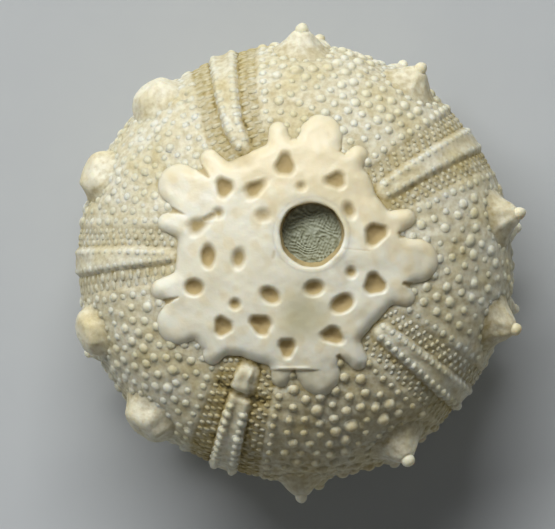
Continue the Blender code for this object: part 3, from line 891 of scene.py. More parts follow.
def coronaRelief(walk, azimuth):  # lift and how silted the place is
    place, normal, downhill, sideways = coronaFrames(walk, azimuth)
    offset, number = ambulacrumOffset(walk, azimuth)
    distance = np.abs(offset)
    clear = clearOfDisc(walk, place)
    risen = softStep(*ambulacra["tipGap"], clear)
    head = headShare(clear)
    pastRidge = distance - ridgeEdge(walk, number) * head
    pastZone = distance - zoneEdge(walk, number)
    rope = hump(distance - rowSpacing(walk, number) / 2 * head, ambulacra["ropeWidth"]) * risen
    onRidge = (1 - softStep(*ambulacra["ridgeFlank"], pastRidge)) * risen
    inZone = (1 - onRidge) * (1 - softStep(*ambulacra["zoneFlank"], pastZone))
    groove = hump(pastRidge - ambulacra["grooveOffset"], ambulacra["grooveWidth"])
    groove = groove * np.array(ambulacra["grooveSides"])[number, (offset > 0).astype(int)]
    ridge = np.array(ambulacra["ridgeHeight"])[number] * onRidge
    ridge += np.array(ambulacra["ropeHeight"])[number] * rope
    lift = ridge - ambulacra["zoneDepth"] * inZone - ambulacra["grooveDepth"] * groove
    soil = relief["soil"] + relief["ridgeSoil"] * onRidge
    soil += relief["ropeSoil"] * rope + relief["grooveSoil"] * groove
    soil += relief["betweenSoil"] * hump(distance, ambulacra["betweenWidth"]) * onRidge * head
    # pore-zone silt, with painted shade on the lowest ambulacrum
    soil += np.array(ambulacra["zoneSiltAndShade"])[number] * (inZone + relief["furrowShare"] * onRidge * (1 - rope))
    soil += np.array(ambulacra["ridgeSoil"])[number] * onRidge
    # ground silt with painted shade, darker on the lower interambulacrum
    soil += inInterambulacrum(walk, azimuth, "groundSiltAndShade") * softStep(*relief["groundStart"], pastZone)
    for azimuthAt, walkAt, size, worn in tuberclePlaced:
        around = tubercles["base"] * size + relief["scrobiculeGap"]
        ring = hump(surfaceDistance(walk, azimuth, walkAt, azimuthAt) - around, relief["scrobiculeWidth"])
        lift -= relief["scrobicule"] * size * ring
        soil += relief["scrobiculeSoil"] * ring
    besidePlate = (number == wornPlate["ambulacrum"]) & (walk < ambitusWalk)
    plateLift, plateSoil = wornPlateRelief(walk, place, offset, ridge, onRidge)
    lift += besidePlate * plateLift
    for settings in relief["waves"]:
        lift += waves(place, settings)
    soil += besidePlate * plateSoil
    # painted shade low on the sides, carried in the soil field
    soil += relief["paintedLowShade"] * plateau(relief["paintedLowShadeRise"], relief["paintedLowShadeFall"], place[:, 2])
    start, end = corona["flatFoot"]
    return lift * (1 - softStep(baseWalk - start, baseWalk - end, walk)), np.clip(soil, 0, 1)


def buildCorona():
    apexWalk, hiddenRadius = corona["hiddenWalks"]
    upper = np.linspace(apexWalk, walkAtRadius(hiddenRadius), corona["hiddenRings"])
    lower = np.linspace(walkAtRadius(corona["shownRadius"]), baseWalk - 0.001, corona["meridianSteps"])
    walk = np.concatenate([upper, lower])
    columns = corona["azimuthSteps"]
    azimuth = turn * np.arange(columns) / columns
    walkGrid, azimuthGrid = (g.ravel() for g in np.meshgrid(walk, azimuth, indexing="ij"))
    place, normal, downhill, sideways = coronaFrames(walkGrid, azimuthGrid)
    lift, soil = coronaRelief(walkGrid, azimuthGrid)
    tree = kdtree.KDTree(len(granulePlaced))
    for index, spot in enumerate(coronaFrames(granulePlaced[:, 0], granulePlaced[:, 1])[0]):
        tree.insert(spot, index)
    tree.balance()
    mound = hump(np.array([tree.find(spot)[2] for spot in place]), relief["moundWidth"])
    lift += relief["mound"] * mound
    soil = np.clip(soil + relief["moundSoil"] * mound, 0, 1)
    besideDisc = 1 - softStep(*relief["discGap"], clearOfDisc(walkGrid, place))
    soil = np.clip(soil + relief["discSoil"] * besideDisc, 0, 1)
    fromDisc = np.hypot(place[:, 0] - disc["centre"][0], place[:, 1] - disc["centre"][1])
    sunk = sum(drop * (1 - softStep(start, end, fromDisc)) for drop, start, end in corona["crownDrops"])
    place = place + normal * lift[:, None]
    place[:, 2] -= sunk * (walkGrid < ambitusWalk)
    outwards, height = np.transpose(corona["mouthLip"])
    mouthRadii = [corona["baseRadius"], *[corona["mouthRadius"]] * len(outwards)]
    mouth = [*zip(mouthRadii + np.append(outwards, 0), np.append(height, corona["mouthDepth"]))]
    circle = np.cos(azimuth), np.sin(azimuth)
    rings = [np.stack([r * circle[0], r * circle[1], np.full(columns, z)], axis=-1) for r, z in mouth]
    apex = [0, 0, corona["height"] - corona["apexDrop"]]
    place = np.vstack([place, *rings, [apex], [[0, 0, corona["mouthDepth"]]]])
    place[:, 2] = np.maximum(place[:, 2], 0.0)
    rows = len(walk) + len(mouth)
    top, bottom = rows * columns, rows * columns + 1
    fans = np.vstack([capFan(0, columns, top), capFan((rows - 1) * columns, columns, bottom, flip=True)])
    soil = np.concatenate([soil, np.full(len(mouth) * columns + 2, relief["hiddenSoil"])])
    faces = [gridFaces(rows, columns, wrap=True), fans]
    piece = addPiece("coronaPlates", place, faces, calcite, {"soil": soil})
    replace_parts(piece, "test")


buildCorona()


def pearlsOnCorona(name, placed, sink, standing, cleanSoil):
    walk, azimuth, size = placed[:, 0], placed[:, 1], placed[:, 2]
    place, normal, downhill, sideways = coronaFrames(walk, azimuth)
    lift, soil = coronaRelief(walk, azimuth)
    place = place + normal * (lift + size * sink)[:, None]
    shape = turnedShape(granules["profile"], granules["top"], granules["bottom"], granules["segments"])
    sizes = np.stack([size, size, size * standing], axis=-1)
    points, quads, fans = joinedCopies(shape, (place, normal, downhill, sideways), sizes)
    points[:, 2] = np.maximum(points[:, 2], 0.0)
    level = np.tile(shape[0][:, 2], len(placed))
    ground = np.repeat(soil, len(shape[0]))
    clean = np.broadcast_to(cleanSoil, walk.shape).repeat(len(shape[0]))
    # the caps keep the given value, which for the granules carries painted shade on the lower
    # interambulacrum; the feet take the ground's
    silted = clean + np.clip(ground - clean, 0, 1) * (1 - softStep(*granules["siltedFoot"], level))
    piece = addPiece(name, points, [quads, fans], calcite, {"soil": silted})
    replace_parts(piece, "test")


above = granulePlaced[:, 0] < ambitusWalk + granules["split"]
for name, placed in (("granules", granulePlaced[above]), ("lowerGranules", granulePlaced[~above])):
    # the pearls' silt, with painted shade on the lower interambulacrum
    looks = (inInterambulacrum(placed[:, 0], placed[:, 1], key) for key in ("standing", "pearlSiltAndShade"))
    standing, pearlSiltAndShade = looks
    pearlsOnCorona(name, placed, granules["sink"], standing, pearlSiltAndShade)


# Bead rows on the ridge of each ambulacrum.

rows = {
    "radius": (0.108, 0.128, 0.100),
    "pitch": (0.255, 0.300, 0.24),
    "firstRadius": 2.95,
    "stagger": 0.13,  # the anticlockwise row starts this much further down
    "spread": (0.86, 1.12),
    "jitter": 0.015,
    "headGap": 0.13,  # from the tip of the ridge to the first bead
    "lowest": 0.22,  # least height of a bead above the base
    # How far each row's beads stand out of their rope, at the two sides of each axis.
    "sinks": ((-0.64, -0.62), (-0.60, -0.62), (-0.66, -0.62), (-0.18, -0.24), (-0.30, -0.60)),
    "sinkSpread": 0.07,
    "standing": 0.9,
    "soil": 0.04,
    "seed": 5,
}


def beadRow(number, side, draw):
    walk = walkAtRadius(rows["firstRadius"]) + rows["stagger"] * (side > 0)
    while walk < baseWalk:
        radius = coronaRadius(walk)
        halfGap = float(rowSpacing(walk, number)) / 2
        axis = ambulacrumAxis(number, walk)
        place = coronaFrames(walk, axis + side * halfGap / radius)[0]
        clear = float(clearOfDisc(walk, place))
        azimuth = axis + side * halfGap * float(headShare(clear)) / radius
        size = float(alongAmbulacrum(walk, rows["radius"])) * draw.uniform(*rows["spread"])
        onPlate = number == wornPlate["ambulacrum"] and walk < ambitusWalk and radius < wornPlate["firstBead"]
        if not onPlate and place[2] >= rows["lowest"] and clear > ambulacra["tipGap"][0] + rows["headGap"]:
            sink = rows["sinks"][number][side > 0] + draw.uniform(-rows["sinkSpread"], rows["sinkSpread"])
            yield walk + draw.uniform(-rows["jitter"], rows["jitter"]), azimuth, size, sink
        walk += float(alongAmbulacrum(walk, rows["pitch"]))


beadDraw = np.random.RandomState(rows["seed"])
beads = np.array([bead for number in range(5) for side in sides for bead in beadRow(number, side, beadDraw)])
pearlsOnCorona("ambulacralBeads", beads, beads[:, 3], rows["standing"], rows["soil"])


# Rungs between the pore pairs: short ribs in columns beside each ridge.

rungs = {
    "pitch": 0.265,
    "columns": ((3, 3), (2, 2), (3, 2), (3, 3), (3, 3)),  # on each one's clockwise and anticlockwise side
    "stagger": 0.36,  # of the pitch, from one column to the next
    "width": 0.068,
    "length": 0.60,  # half-length, as a share of a column
    "sunk": 0.35,  # how deep the middle of a rung lies, as a share of its height
    # Height on each one's clockwise and anticlockwise side: some are worn almost flat.
    "heights": ((0.046, 0.050), (0.040, 0.036), (0.044, 0.044), (0.056, 0.056), (0.046, 0.060)),
    "firstRadius": 2.95,
    "lastGap": 0.7,  # walk between the last one and the base
    "inset": (0.11, 0.06),  # from the ridge and from the zone's edge
    "jitter": 0.015,
    "lengthSpread": (0.85, 1.0),
    "sizeSpread": (0.8, 1.15),
    "discGap": 0.03,
    "paleTop": (0.35, 0.85),
    "paleSpread": (0.6, 1.4),
    "segments": 12,
    "rings": 9,
    "paler": ((0.13, 0.14), (0.11, 0.10), (0.12, 0.12), (0.18, 0.12), (0.13, 0.22)),  # than the silted ground
    "seed": 21,
}


def rungColumns(number, side, draw):
    columns, height, paler = (rungs[key][number][side > 0] for key in ("columns", "heights", "paler"))
    walk = float(walkAtRadius(rungs["firstRadius"]))
    while walk < baseWalk - rungs["lastGap"]:
        inner = float(ridgeEdge(walk, number)) + rungs["inset"][0]
        outer = float(zoneEdge(walk, number)) - rungs["inset"][1]
        share = (outer - inner) / columns
        for column in range(columns):
            offset = inner + share * (column + 0.5)
            here = walk + rungs["pitch"] * rungs["stagger"] * column
            here += draw.uniform(-rungs["jitter"], rungs["jitter"])
            azimuth = ambulacrumAxis(number, here) + side * offset / coronaRadius(here)
            length = share * rungs["length"] * draw.uniform(*rungs["lengthSpread"])
            yield here, azimuth, length, draw.uniform(*rungs["sizeSpread"]), height, paler
        walk += rungs["pitch"]


def buildRungs():
    draw = np.random.RandomState(rungs["seed"])
    zones = [(number, side) for number in range(5) for side in sides]
    placed = np.array([rung for zone in zones for rung in rungColumns(*zone, draw)])
    place = coronaFrames(placed[:, 0], placed[:, 1])[0]
    placed = placed[clearOfDisc(placed[:, 0], place) >= rungs["discGap"]]
    walk, azimuth, length, size, height, paler = placed.T
    place, normal, downhill, sideways = coronaFrames(walk, azimuth)
    lift, soil = coronaRelief(walk, azimuth)
    place = place + normal * (lift - rungs["sunk"] * height)[:, None]
    shape = ball(rungs["segments"], rungs["rings"])
    sizes = np.stack([rungs["width"] * size, length, height * size], axis=-1)
    points, quads, fans = joinedCopies(shape, (place, normal, downhill, sideways), sizes)
    level = np.tile(shape[0][:, 2], len(placed))
    paler = np.repeat(paler * draw.uniform(*rungs["paleSpread"], len(placed)), len(shape[0]))
    soil = np.clip(np.repeat(soil, len(shape[0])) - paler * softStep(*rungs["paleTop"], level), 0, 1)
    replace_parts(addPiece("poreRungs", points, [quads, fans], calcite, {"soil": soil}), "test")


buildRungs()


# Primary tubercles: cones whose feet follow the corona, with a round boss on top.

def tubercleProfile(worn):
    if worn:
        return tubercles["domeProfile"]
    tilts = np.radians(tubercles["bossTilts"])
    boss = tubercles["bossRadius"] * np.stack([np.sin(tilts), np.cos(tilts)], axis=-1)
    boss += [0, tubercles["bossLift"]]
    return [*tubercles["coneProfile"], *boss]


def tubercleSurface(azimuth, walk, size, worn, order):  # points with two tips, and how silted they are
    profile = np.array(tubercleProfile(worn)) * size
    segments = tubercles["segments"]
    spin = turn * np.arange(segments) / segments
    ringWalk = walk + np.outer(profile[:, 0], np.cos(spin))
    ringAzimuth = azimuth + np.outer(profile[:, 0], np.sin(spin)) / coronaRadius(walk)
    centre, axis, downhill, sideways = coronaFrames(np.array(walk), np.array(azimuth))
    points = (coronaFrames(ringWalk, ringAzimuth)[0] + axis * profile[:, 1][:, None, None]).reshape(-1, 3)
    height = np.repeat(profile[:, 1] / size, segments)
    (rise, wavelength), (moreRise, moreWavelength) = tubercles["coarse"]
    rough = unevenness(points, wavelength + moreWavelength * worn, tubercles["seeds"][0] + order)
    rough = rough * (rise + moreRise * worn)
    rough += worn * waves(points, (*tubercles["fine"], tubercles["seeds"][1] + order))
    rough = rough * softStep(*tubercles["smoothFoot"], height)
    ribs = np.sin(np.tile(spin, len(profile)) * (tubercles["fluteCount"] + order % 4) + order)
    ribs = ribs * tubercles["flutes"] * plateau(*tubercles["fluteSpan"], height)
    outwards = points - (centre + axis * (height * size / 2)[:, None])
    outwards /= np.linalg.norm(outwards, axis=1, keepdims=True)
    points = points + outwards * (rough + ribs)[:, None]
    footSoil, footTop = tubercles["footSoil"]
    flankSoil, start, end = tubercles["flankSoil"]
    share, wavelength = tubercles["blotch"]
    soil = footSoil * (1 - softStep(0.0, footTop, height))
    soil += (flankSoil - tubercles["wornCleaner"] * worn) * (1 - softStep(start, end, height))
    soil += share * np.clip(unevenness(points, wavelength, tubercles["seeds"][2] + order), -1, 1)
    tips = centre + axis * (profile[-1, 1] + 0.002), centre - axis * tubercles["root"]
    return np.vstack([points, *tips]), np.concatenate([soil, tubercles["tipSoils"]])


def buildTubercles():
    segments = tubercles["segments"]
    allPoints, quads, fans, soils = [], [], [], []
    start = 0
    for order, place in enumerate(tuberclePlaced):
        points, soil = tubercleSurface(*place, order)
        tip = start + len(points) - 2
        rings = (len(points) - 2) // segments
        quads.append(gridFaces(rings, segments, wrap=True)[:, ::-1] + start)
        fans.append(capFan(tip - segments, segments, tip))
        fans.append(capFan(start, segments, tip + 1, flip=True))
        allPoints.append(points)
        soils.append(soil)
        start += len(points)
    faces = [np.vstack(quads), np.vstack(fans)]
    fields = {"soil": np.concatenate(soils)}
    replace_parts(addPiece("primaryTubercles", np.vstack(allPoints), faces, calcite, fields), "test")


buildTubercles()


# The disc's surface: a fine lattice whose height follows the dome, the rounded margin, the pits and ledges.

pits = {
    "depth": 0.235,
    "cornerPower": 1.5,  # higher gives sharper corners
    "corners": (turn / 6, turn / 2, -turn / 6),
    "walls": ((0.66, -0.08, 0.12), (0.34, 0.02, 0.26)),  # shares of the depth, and where each starts and ends
    "cornerFlat": 0.91,  # distance to the flat sides of a three-cornered pit, as a share of its half-length
    # x, y, half-length, half-width, turn, three-cornered, depth share
    "places": (
        (-1.97, 2.08, 0.23, 0.26, 11, True, 0.88), (-1.13, 2.03, 0.33, 0.19, 33, True, 0.76),
        (-0.28, 2.71, 0.31, 0.26, 86, True, 0.76), (0.17, 2.10, 0.14, 0.13, 0, False, 0.50),
        (1.14, 2.27, 0.29, 0.22, 185, True, 0.74), (1.51, 1.44, 0.25, 0.175, -65, False, 0.66),
        (2.24, 0.77, 0.26, 0.32, 132, True, 1.0), (1.56, -0.29, 0.15, 0.15, 0, False, 0.70),
        (2.22, -0.62, 0.29, 0.28, -20, True, 1.0), (1.32, -1.16, 0.35, 0.24, 27, False, 1.0),
        (0.53, -0.73, 0.28, 0.21, 10, False, 0.9), (-0.69, -0.93, 0.29, 0.215, -30, False, 0.9),
        (-1.67, -1.18, 0.16, 0.15, 0, False, 0.75), (-2.82, -0.71, 0.27, 0.23, 0, False, 0.95),
        (-2.42, 0.16, 0.32, 0.205, 90, False, 0.96), (-1.57, 0.10, 0.29, 0.20, 78, False, 0.66),
        (-2.72, 1.00, 0.33, 0.22, 26, True, 0.54), (-2.14, 1.36, 0.16, 0.15, 0, False, 0.6),
        (-0.89, 1.30, 0.24, 0.20, 0, False, 0.37), (-2.01, -1.80, 0.24, 0.26, 1, True, 0.95),
        (-0.95, -1.75, 0.30, 0.25, 152, True, 1.0), (-0.22, -2.39, 0.25, 0.22, -90, True, 1.0),
        (1.05, -2.05, 0.22, 0.30, 76, True, 1.0),
    ),
}

plate = {
    "step": 0.0245,  # of the lattice
    "lattice": ((-4.62, 4.28), (-4.10, 4.45)),
    "overhang": 0.085,
    "rootHeight": 4.9,
    "edgeSamples": 2400,
    "bridgeStart": (-0.05, 0.05),
    "bridgeGap": (0.02, 0.10),
    "smoothings": 3,
    "thickness": 0.205,
    "margin": 0.31,  # width of the rounded margin
    "marginPowers": (2.2, 0.76),
    "skirt": 3.2,  # slope of the wall outside the margin
    "soft": (1.5, 7),  # wavelength and seed
    "swell": (0.75, 14),
    "fine": (0.30, 8),
    "blotch": (0.55, 12),
    "rises": {"all": -0.018, "soft": 0.016, "swell": 0.011, "fine": 0.0032, "bridge": 0.075},
    "channelDepth": 0.42,
    "lipHeight": -2.955,
    "lipWidth": 0.035,
    "lipEnds": ((-0.66, -0.30), (0.20, 0.52)),
    "lipMargin": (0.02, -0.05),
    "stepStart": (-0.62, -0.50),
    "stepEnds": ((0.02, 0.2), (1.45, 1.65)),
    "stepReach": (0.9, 1.2),
    # Of the sunken field, ledge, groove, scratch, crescent, lip and step.
    "markDepths": (0.05, 0.060, 0.014, 0.006, 0.05, -0.030, -0.022),
    "pitSoil": ((0.86, 0.12, 0.85), (0.20, 0.01, 0.25)),
    "markSiltAndHighlight": (0.24, 0.18, 0.08, -0.5, 0.30, 0.55),  # groove, scratch, ledge, lip, crescent, bridged cleft; the lip's negative value is a painted highlight along its crest
    "edgeSoil": 0.24,
    "edgeGap": (-0.08, 0.04),
    "blotchSoil": 0.05,
    "fineSoil": 0.02,
    "rightLobeStart": (2.75, 3.25),
    "rightLobeEnds": (0.9, 1.3),
    "rightLobeHeight": -0.1,
    "dull": {"sunken": 0.80, "ledge": 0.10, "lobe": 0.35, "soft": 0.12},
    "warm": {"lobe": 0.25, "blotch": 0.45, "bridge": 0.5},
    "warmSpan": (0.4, 2.6),  # the calcite is warmer towards one side
    "warmSlant": 0.35,
    "stains": (  # x, y, size and strength of brown clouds in the calcite
        (1.20, -0.32, 0.45, 0.13), (-1.20, -1.20, 0.60, 0.05), (2.60, 0.75, 0.30, 0.10),
        (-2.60, 1.62, 0.35, 0.08),
        (0.10, 2.45, 0.40, 0.07), (-2.95, 0.55, 0.30, 0.08), (0.95, -2.60, 0.35, 0.07),
        (-0.85, 1.30, 0.35, 0.10),
    ),
}

marks = {
    "steepness": 1.5,  # of a hollow's sides
    "channel": ("scratch", (-2.52, 1.16), (-2.14, 1.36), 0.0, 0.15),  # ends, and where it fades
    "scratch": ("scratch", (1.34, 0.39), (2.07, 0.31), 0.010, 0.030),
    "groove": ("line", (-0.60, 0.12), (-0.58, 0.28), 0.055),
    "sunken": ("hollow", (0.22, -1.40), (0.85, 0.75)),
    "crescent": ("hollow", (-1.50, 2.84), (0.42, 0.22)),
    # Where it rises and falls in x, and where it starts in y.
    "ledge": ("shelf", (-0.78, -0.60), (0.46, 0.80), (-2.985, -3.03)),
    "lowerLobe": ("shelf", (0.0, 0.3), (1.30, 1.45), (-2.9, -3.1)),
}

periproct = {
    "centre": (0.46, 0.76),
    "radius": 0.895,
    # Of the rim: distance outwards from the top of the wall, and drop below the disc's surface.
    "profile": (
        (0.29, -0.08), (0.25, -0.006), (0.20, -0.0014), (0.15, 0.0008), (0.115, 0.0012), (0.08, 0.0),
        (0.05, -0.006),
        (0.025, -0.018), (0.006, -0.045), (-0.006, -0.09), (-0.016, -0.16), (-0.028, -0.25), (-0.042, -0.34),
        (-0.055, -0.43), (-0.066, -0.52), (-0.075, -0.66), (0.29, -0.66),
    ),
    "lean": 0.9,  # the wall slopes more at the lower side
    "wobbles": ((0.012, 3, 0.6), (0.008, 5, 2.0), (0.005, 9, 0.0)),
    "trueTop": -0.01,  # the wall is uneven below this drop
    "rough": (0.012, 0.22, 31),
    "roughBelow": (-0.02, -0.2),
    "siltedBelow": (-0.03, -0.14),
    "wallSoil": 0.75,
    "seam": (0.915, 0.985),  # the disc's own surface dips under the rim over these radii
    "undercut": 1.1,
    "segments": 180,
}


def pitField(x, y):  # depth share of the pits at each point, 0 outside and 1 on a full pit's floor
    deepest = np.zeros_like(x)
    for pitX, pitY, halfLength, halfWidth, heading, cornered, share in pits["places"]:
        angle = math.radians(heading)
        along = ((x - pitX) * math.cos(angle) + (y - pitY) * math.sin(angle)) / halfLength
        across = (-(x - pitX) * math.sin(angle) + (y - pitY) * math.cos(angle)) / halfWidth
        distance = np.hypot(along, across)
        if cornered:
            power = pits["cornerPower"]
            flats = (along * math.cos(a) + across * math.sin(a) for a in pits["corners"])
            distance = sum(np.maximum(flat, 0) ** power for flat in flats) ** (1 / power) / pits["cornerFlat"]
        inside = (1 - distance) * min(halfLength, halfWidth)
        hollow = sum(part * softStep(start, end, inside) for part, start, end in pits["walls"])
        deepest = np.maximum(deepest, share * hollow)
    return deepest


def lineDistance(x, y, start, end):
    run = np.array(end) - np.array(start)
    share = np.clip(((x - start[0]) * run[0] + (y - start[1]) * run[1]) / (run @ run), 0, 1)
    return np.hypot(x - start[0] - share * run[0], y - start[1] - share * run[1])


def gapTo(spots, x, y):  # distance in plan from each place to the nearest spot
    tree = kdtree.KDTree(len(spots))
    for index, spot in enumerate(spots):
        tree.insert((*spot, 0.0), index)
    tree.balance()
    return np.array([tree.find((px, py, 0.0))[2] for px, py in zip(x.ravel(), y.ravel())]).reshape(x.shape)


def zeroCrossings(x, y, field):
    found = []
    for near, far in ((np.s_[:-1, :], np.s_[1:, :]), (np.s_[:, :-1], np.s_[:, 1:])):
        first, second = field[near], field[far]
        change = first * second < 0
        share = first[change] / (first[change] - second[change])
        crossing = [v[near][change] + share * (v[far] - v[near])[change] for v in (x, y)]
        found.append(np.stack(crossing, axis=-1))
    return np.vstack(found)


def outlineDistance(x, y):  # distance outside the edge, negative inside, and where a cleft is bridged
    azimuth = np.linspace(0, turn, plate["edgeSamples"], endpoint=False)
    reach = discReach(azimuth)
    edge = reach[:, None] * np.stack([np.cos(azimuth), np.sin(azimuth)], axis=-1) + disc["centre"]
    gap = gapTo(edge, x, y)
    signed = np.where(pastDiscEdge(x, y) > 0, gap, -gap)
    signed = np.minimum(signed, lineDistance(x, y, *disc["brokenEdge"]) - disc["brokenHalfWidth"])
    grown = signed - disc["bridging"]
    closed = gapTo(zeroCrossings(x, y, grown), x, y)
    closed = np.where(grown > 0, closed, -closed) + disc["bridging"]
    bridged = softStep(*plate["bridgeStart"], signed) * softStep(*plate["bridgeGap"], signed - closed)
    for smoothing in range(plate["smoothings"]):
        padded = np.pad(closed, 1, mode="edge")
        closed = (4 * padded[1:-1, 1:-1] + padded[:-2, 1:-1] + padded[2:, 1:-1]
                  + padded[1:-1, :-2] + padded[1:-1, 2:]) / 8
    return closed, bridged


def mark(name, x, y):  # how much of a mark from the dictionary each place has
    shape = marks[name]
    if shape[0] == "line":
        return hump(lineDistance(x, y, *shape[1:3]), shape[3])
    if shape[0] == "scratch":
        return 1 - softStep(*shape[3:], lineDistance(x, y, *shape[1:3]))
    if shape[0] == "hollow":
        (middleX, middleY), (wide, high) = shape[1:]
        return np.exp(-(((x - middleX) / wide) ** 2 + ((y - middleY) / high) ** 2) ** marks["steepness"])
    return plateau(*shape[1:3], x) * softStep(*shape[3], y)


def discSurface(x, y, signed, bridged=0.0):  # height, silt, dullness and warmth of tone
    flat = np.stack([x.ravel(), y.ravel(), np.zeros(x.size)], axis=-1)
    scales = (plate[key] for key in ("soft", "swell", "fine", "blotch"))
    soft, swell, fine, blotch = (unevenness(flat, *scale).reshape(x.shape) for scale in scales)
    inside = np.clip(-signed / plate["margin"], 0, 1)
    pillow = (1 - (1 - inside) ** plate["marginPowers"][0]) ** plate["marginPowers"][1]
    pit = np.maximum(pitField(x, y), plate["channelDepth"] * mark("channel", x, y))
    sunken, crescent = mark("sunken", x, y), mark("crescent", x, y)
    groove, scratch = mark("groove", x, y), mark("scratch", x, y)
    ledge, lowerLobe = mark("ledge", x, y), mark("lowerLobe", x, y)
    lip = hump(y - plate["lipHeight"], plate["lipWidth"]) * plateau(*plate["lipEnds"], x)
    lip = lip * softStep(*plate["lipMargin"], signed)
    fromHole = np.hypot(x - periproct["centre"][0], y - periproct["centre"][1])
    step = softStep(*plate["stepStart"], x) * plateau(*plate["stepEnds"], y)
    step = step * (1 - softStep(*plate["stepReach"], fromHole))
    height = domeTop(x, y) + plate["thickness"] * pillow - plate["skirt"] * np.clip(signed, 0, None)
    rises = plate["rises"]
    waved = rises["all"] + rises["soft"] * soft + rises["swell"] * swell + rises["fine"] * fine
    height += waved * pillow - rises["bridge"] * bridged
    height -= pits["depth"] * pit
    for depth, share in zip(plate["markDepths"], (sunken, ledge, groove, scratch, crescent, lip, step)):
        height -= depth * share
    soil = sum(share * softStep(start, end, pit) for share, start, end in plate["pitSoil"])
    # silt in the marks, and a painted highlight on the lip
    for silt, share in zip(plate["markSiltAndHighlight"], (groove, scratch, ledge, lip, crescent, bridged)):
        soil += silt * share
    soil += plate["edgeSoil"] * softStep(*plate["edgeGap"], signed)
    soil += plate["blotchSoil"] * np.clip(blotch, 0, 1) + plate["fineSoil"] * fine
    for stainX, stainY, size, share in plate["stains"]:
        soil += share * hump(np.hypot(x - stainX, y - stainY), size)
    fromMiddle = np.hypot(x - disc["centre"][0], y - disc["centre"][1])
    rightLobe = softStep(*plate["rightLobeStart"], fromMiddle) * (x > 0)
    rightLobe = rightLobe * (1 - softStep(*plate["rightLobeEnds"], np.abs(y - plate["rightLobeHeight"])))
    dulled, warmed = plate["dull"], plate["warm"]
    dull = dulled["sunken"] * sunken + dulled["ledge"] * ledge + dulled["soft"] * soft
    dull += dulled["lobe"] * np.maximum(ledge, lowerLobe)
    warm = softStep(*plate["warmSpan"], y + plate["warmSlant"] * x) + warmed["bridge"] * bridged
    warm += warmed["lobe"] * rightLobe + warmed["blotch"] * np.clip(blotch, -0.6, 1)
    return height, np.clip(soil, 0, 1), np.clip(dull, 0, 1), np.clip(warm, 0, 1)


def buildDisc():
    columns, lines = (np.arange(*span, plate["step"]) for span in plate["lattice"])
    x, y = np.meshgrid(columns, lines, indexing="ij")
    signed, bridged = outlineDistance(x, y)
    height, soil, dull, warm = discSurface(x, y, signed, bridged)
    fromHole = np.hypot(x - periproct["centre"][0], y - periproct["centre"][1])
    height -= periproct["undercut"] * (1 - softStep(*periproct["seam"], fromHole))
    inside = signed < plate["overhang"]
    cell = inside[:-1, :-1] & inside[1:, :-1] & inside[1:, 1:] & inside[:-1, 1:]
    index = np.arange(x.size).reshape(x.shape)
    quads = np.stack([index[:-1, :-1], index[1:, :-1], index[1:, 1:], index[:-1, 1:]], axis=-1)[cell]
    used, quads = np.unique(quads, return_inverse=True)
    quads = quads.reshape(-1, 4)
    points = np.stack([x, y, height], axis=-1).reshape(-1, 3)[used]
    edges = np.concatenate([quads[:, [i, (i + 1) % 4]] for i in range(4)])
    keys = edges.min(axis=1) * len(used) + edges.max(axis=1)
    first, counts = np.unique(keys, return_index=True, return_counts=True)[1:]
    border = edges[first[counts == 1]]
    underside = np.stack([border[:, 1], border[:, 0], np.full(len(border), len(used))], axis=-1)
    points = np.vstack([points, [[*disc["centre"], plate["rootHeight"]]]])
    fields = {"soil": soil, "dull": dull, "warm": warm}
    fields = {field: np.append(values.ravel()[used], 0.5) for field, values in fields.items()}
    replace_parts(addPiece("apicalDisc", points, [quads, underside], plates, fields), "test")


buildDisc()


def buildPeriproctRim():
    segments = periproct["segments"]
    spin = turn * np.arange(segments) / segments
    profile = periproct["profile"]
    lean = 1 - periproct["lean"] * np.sin(spin)
    wobble = sum(share * np.sin(count * spin + phase) for share, count, phase in periproct["wobbles"])
    rings, fields = [], {"soil": [], "dull": [], "warm": []}
    for out, drop in profile:
        ring = periproct["radius"] + wobble * (drop < periproct["trueTop"]) + (out if out > 0 else out * lean)
        x = periproct["centre"][0] + ring * np.cos(spin)
        y = periproct["centre"][1] + ring * np.sin(spin)
        height, soil, dull, warm = discSurface(x, y, np.full(segments, -1.0))
        rings.append(np.stack([x, y, height + drop], axis=-1))
        silted = periproct["wallSoil"] * softStep(*periproct["siltedBelow"], drop)
        for field, values in (("soil", np.clip(soil + silted, 0, 1)), ("dull", dull), ("warm", warm)):
            fields[field].append(values)
    points = np.vstack(rings)
    deep = np.repeat([softStep(*periproct["roughBelow"], drop) for out, drop in profile], segments)
    rough = waves(points, periproct["rough"]) * deep
    points[:, 0] += rough * np.tile(np.cos(spin), len(profile))
    points[:, 1] += rough * np.tile(np.sin(spin), len(profile))
    quads = (gridFaces(len(profile) + 1, segments, wrap=True) % len(points))[:, ::-1]
    fields = {field: np.concatenate(values) for field, values in fields.items()}
    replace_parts(addPiece("periproctRim", points, [quads], plates, fields), "test")


buildPeriproctRim()


# Hardened sediment in the periproct, rippled like dried mud, and the plug in the mouth.

marlRipples = {
    "bend": 1.1,  # how far the crests wander, in wavelengths
    "bendLength": 4,
    "slant": 0.35,
    "roughLength": 0.6,
    "patchLength": 3,  # of the patches where the ripples fade
    "patches": (0.55, 0.45),
    "shares": (0.5, 0.6),  # of the ripple and the rough part, in the drop
    "wall": (0.90, 1.0),
    "wallSoil": 0.6,
}

plugs = {
    "periproctMarl": {
        "node": "periproct_sediment", "slot": "sediment", "centre": periproct["centre"], "radius": 0.87,
        "surface": 6.64, "bottom": 6.06, "ripple": 0.028, "wavelength": 0.19, "segments": 200, "seed": 61,
        "facing": 1,
    },
    "mouthMarl": {
        "node": "peristome_sediment", "slot": "mouth_sediment", "centre": (0.0, 0.0), "radius": 2.47,
        "surface": 0.0, "bottom": 0.42, "ripple": 0.030, "wavelength": 0.40, "segments": 260, "seed": 71,
        "facing": -1,
    },
}
plugRings = 90


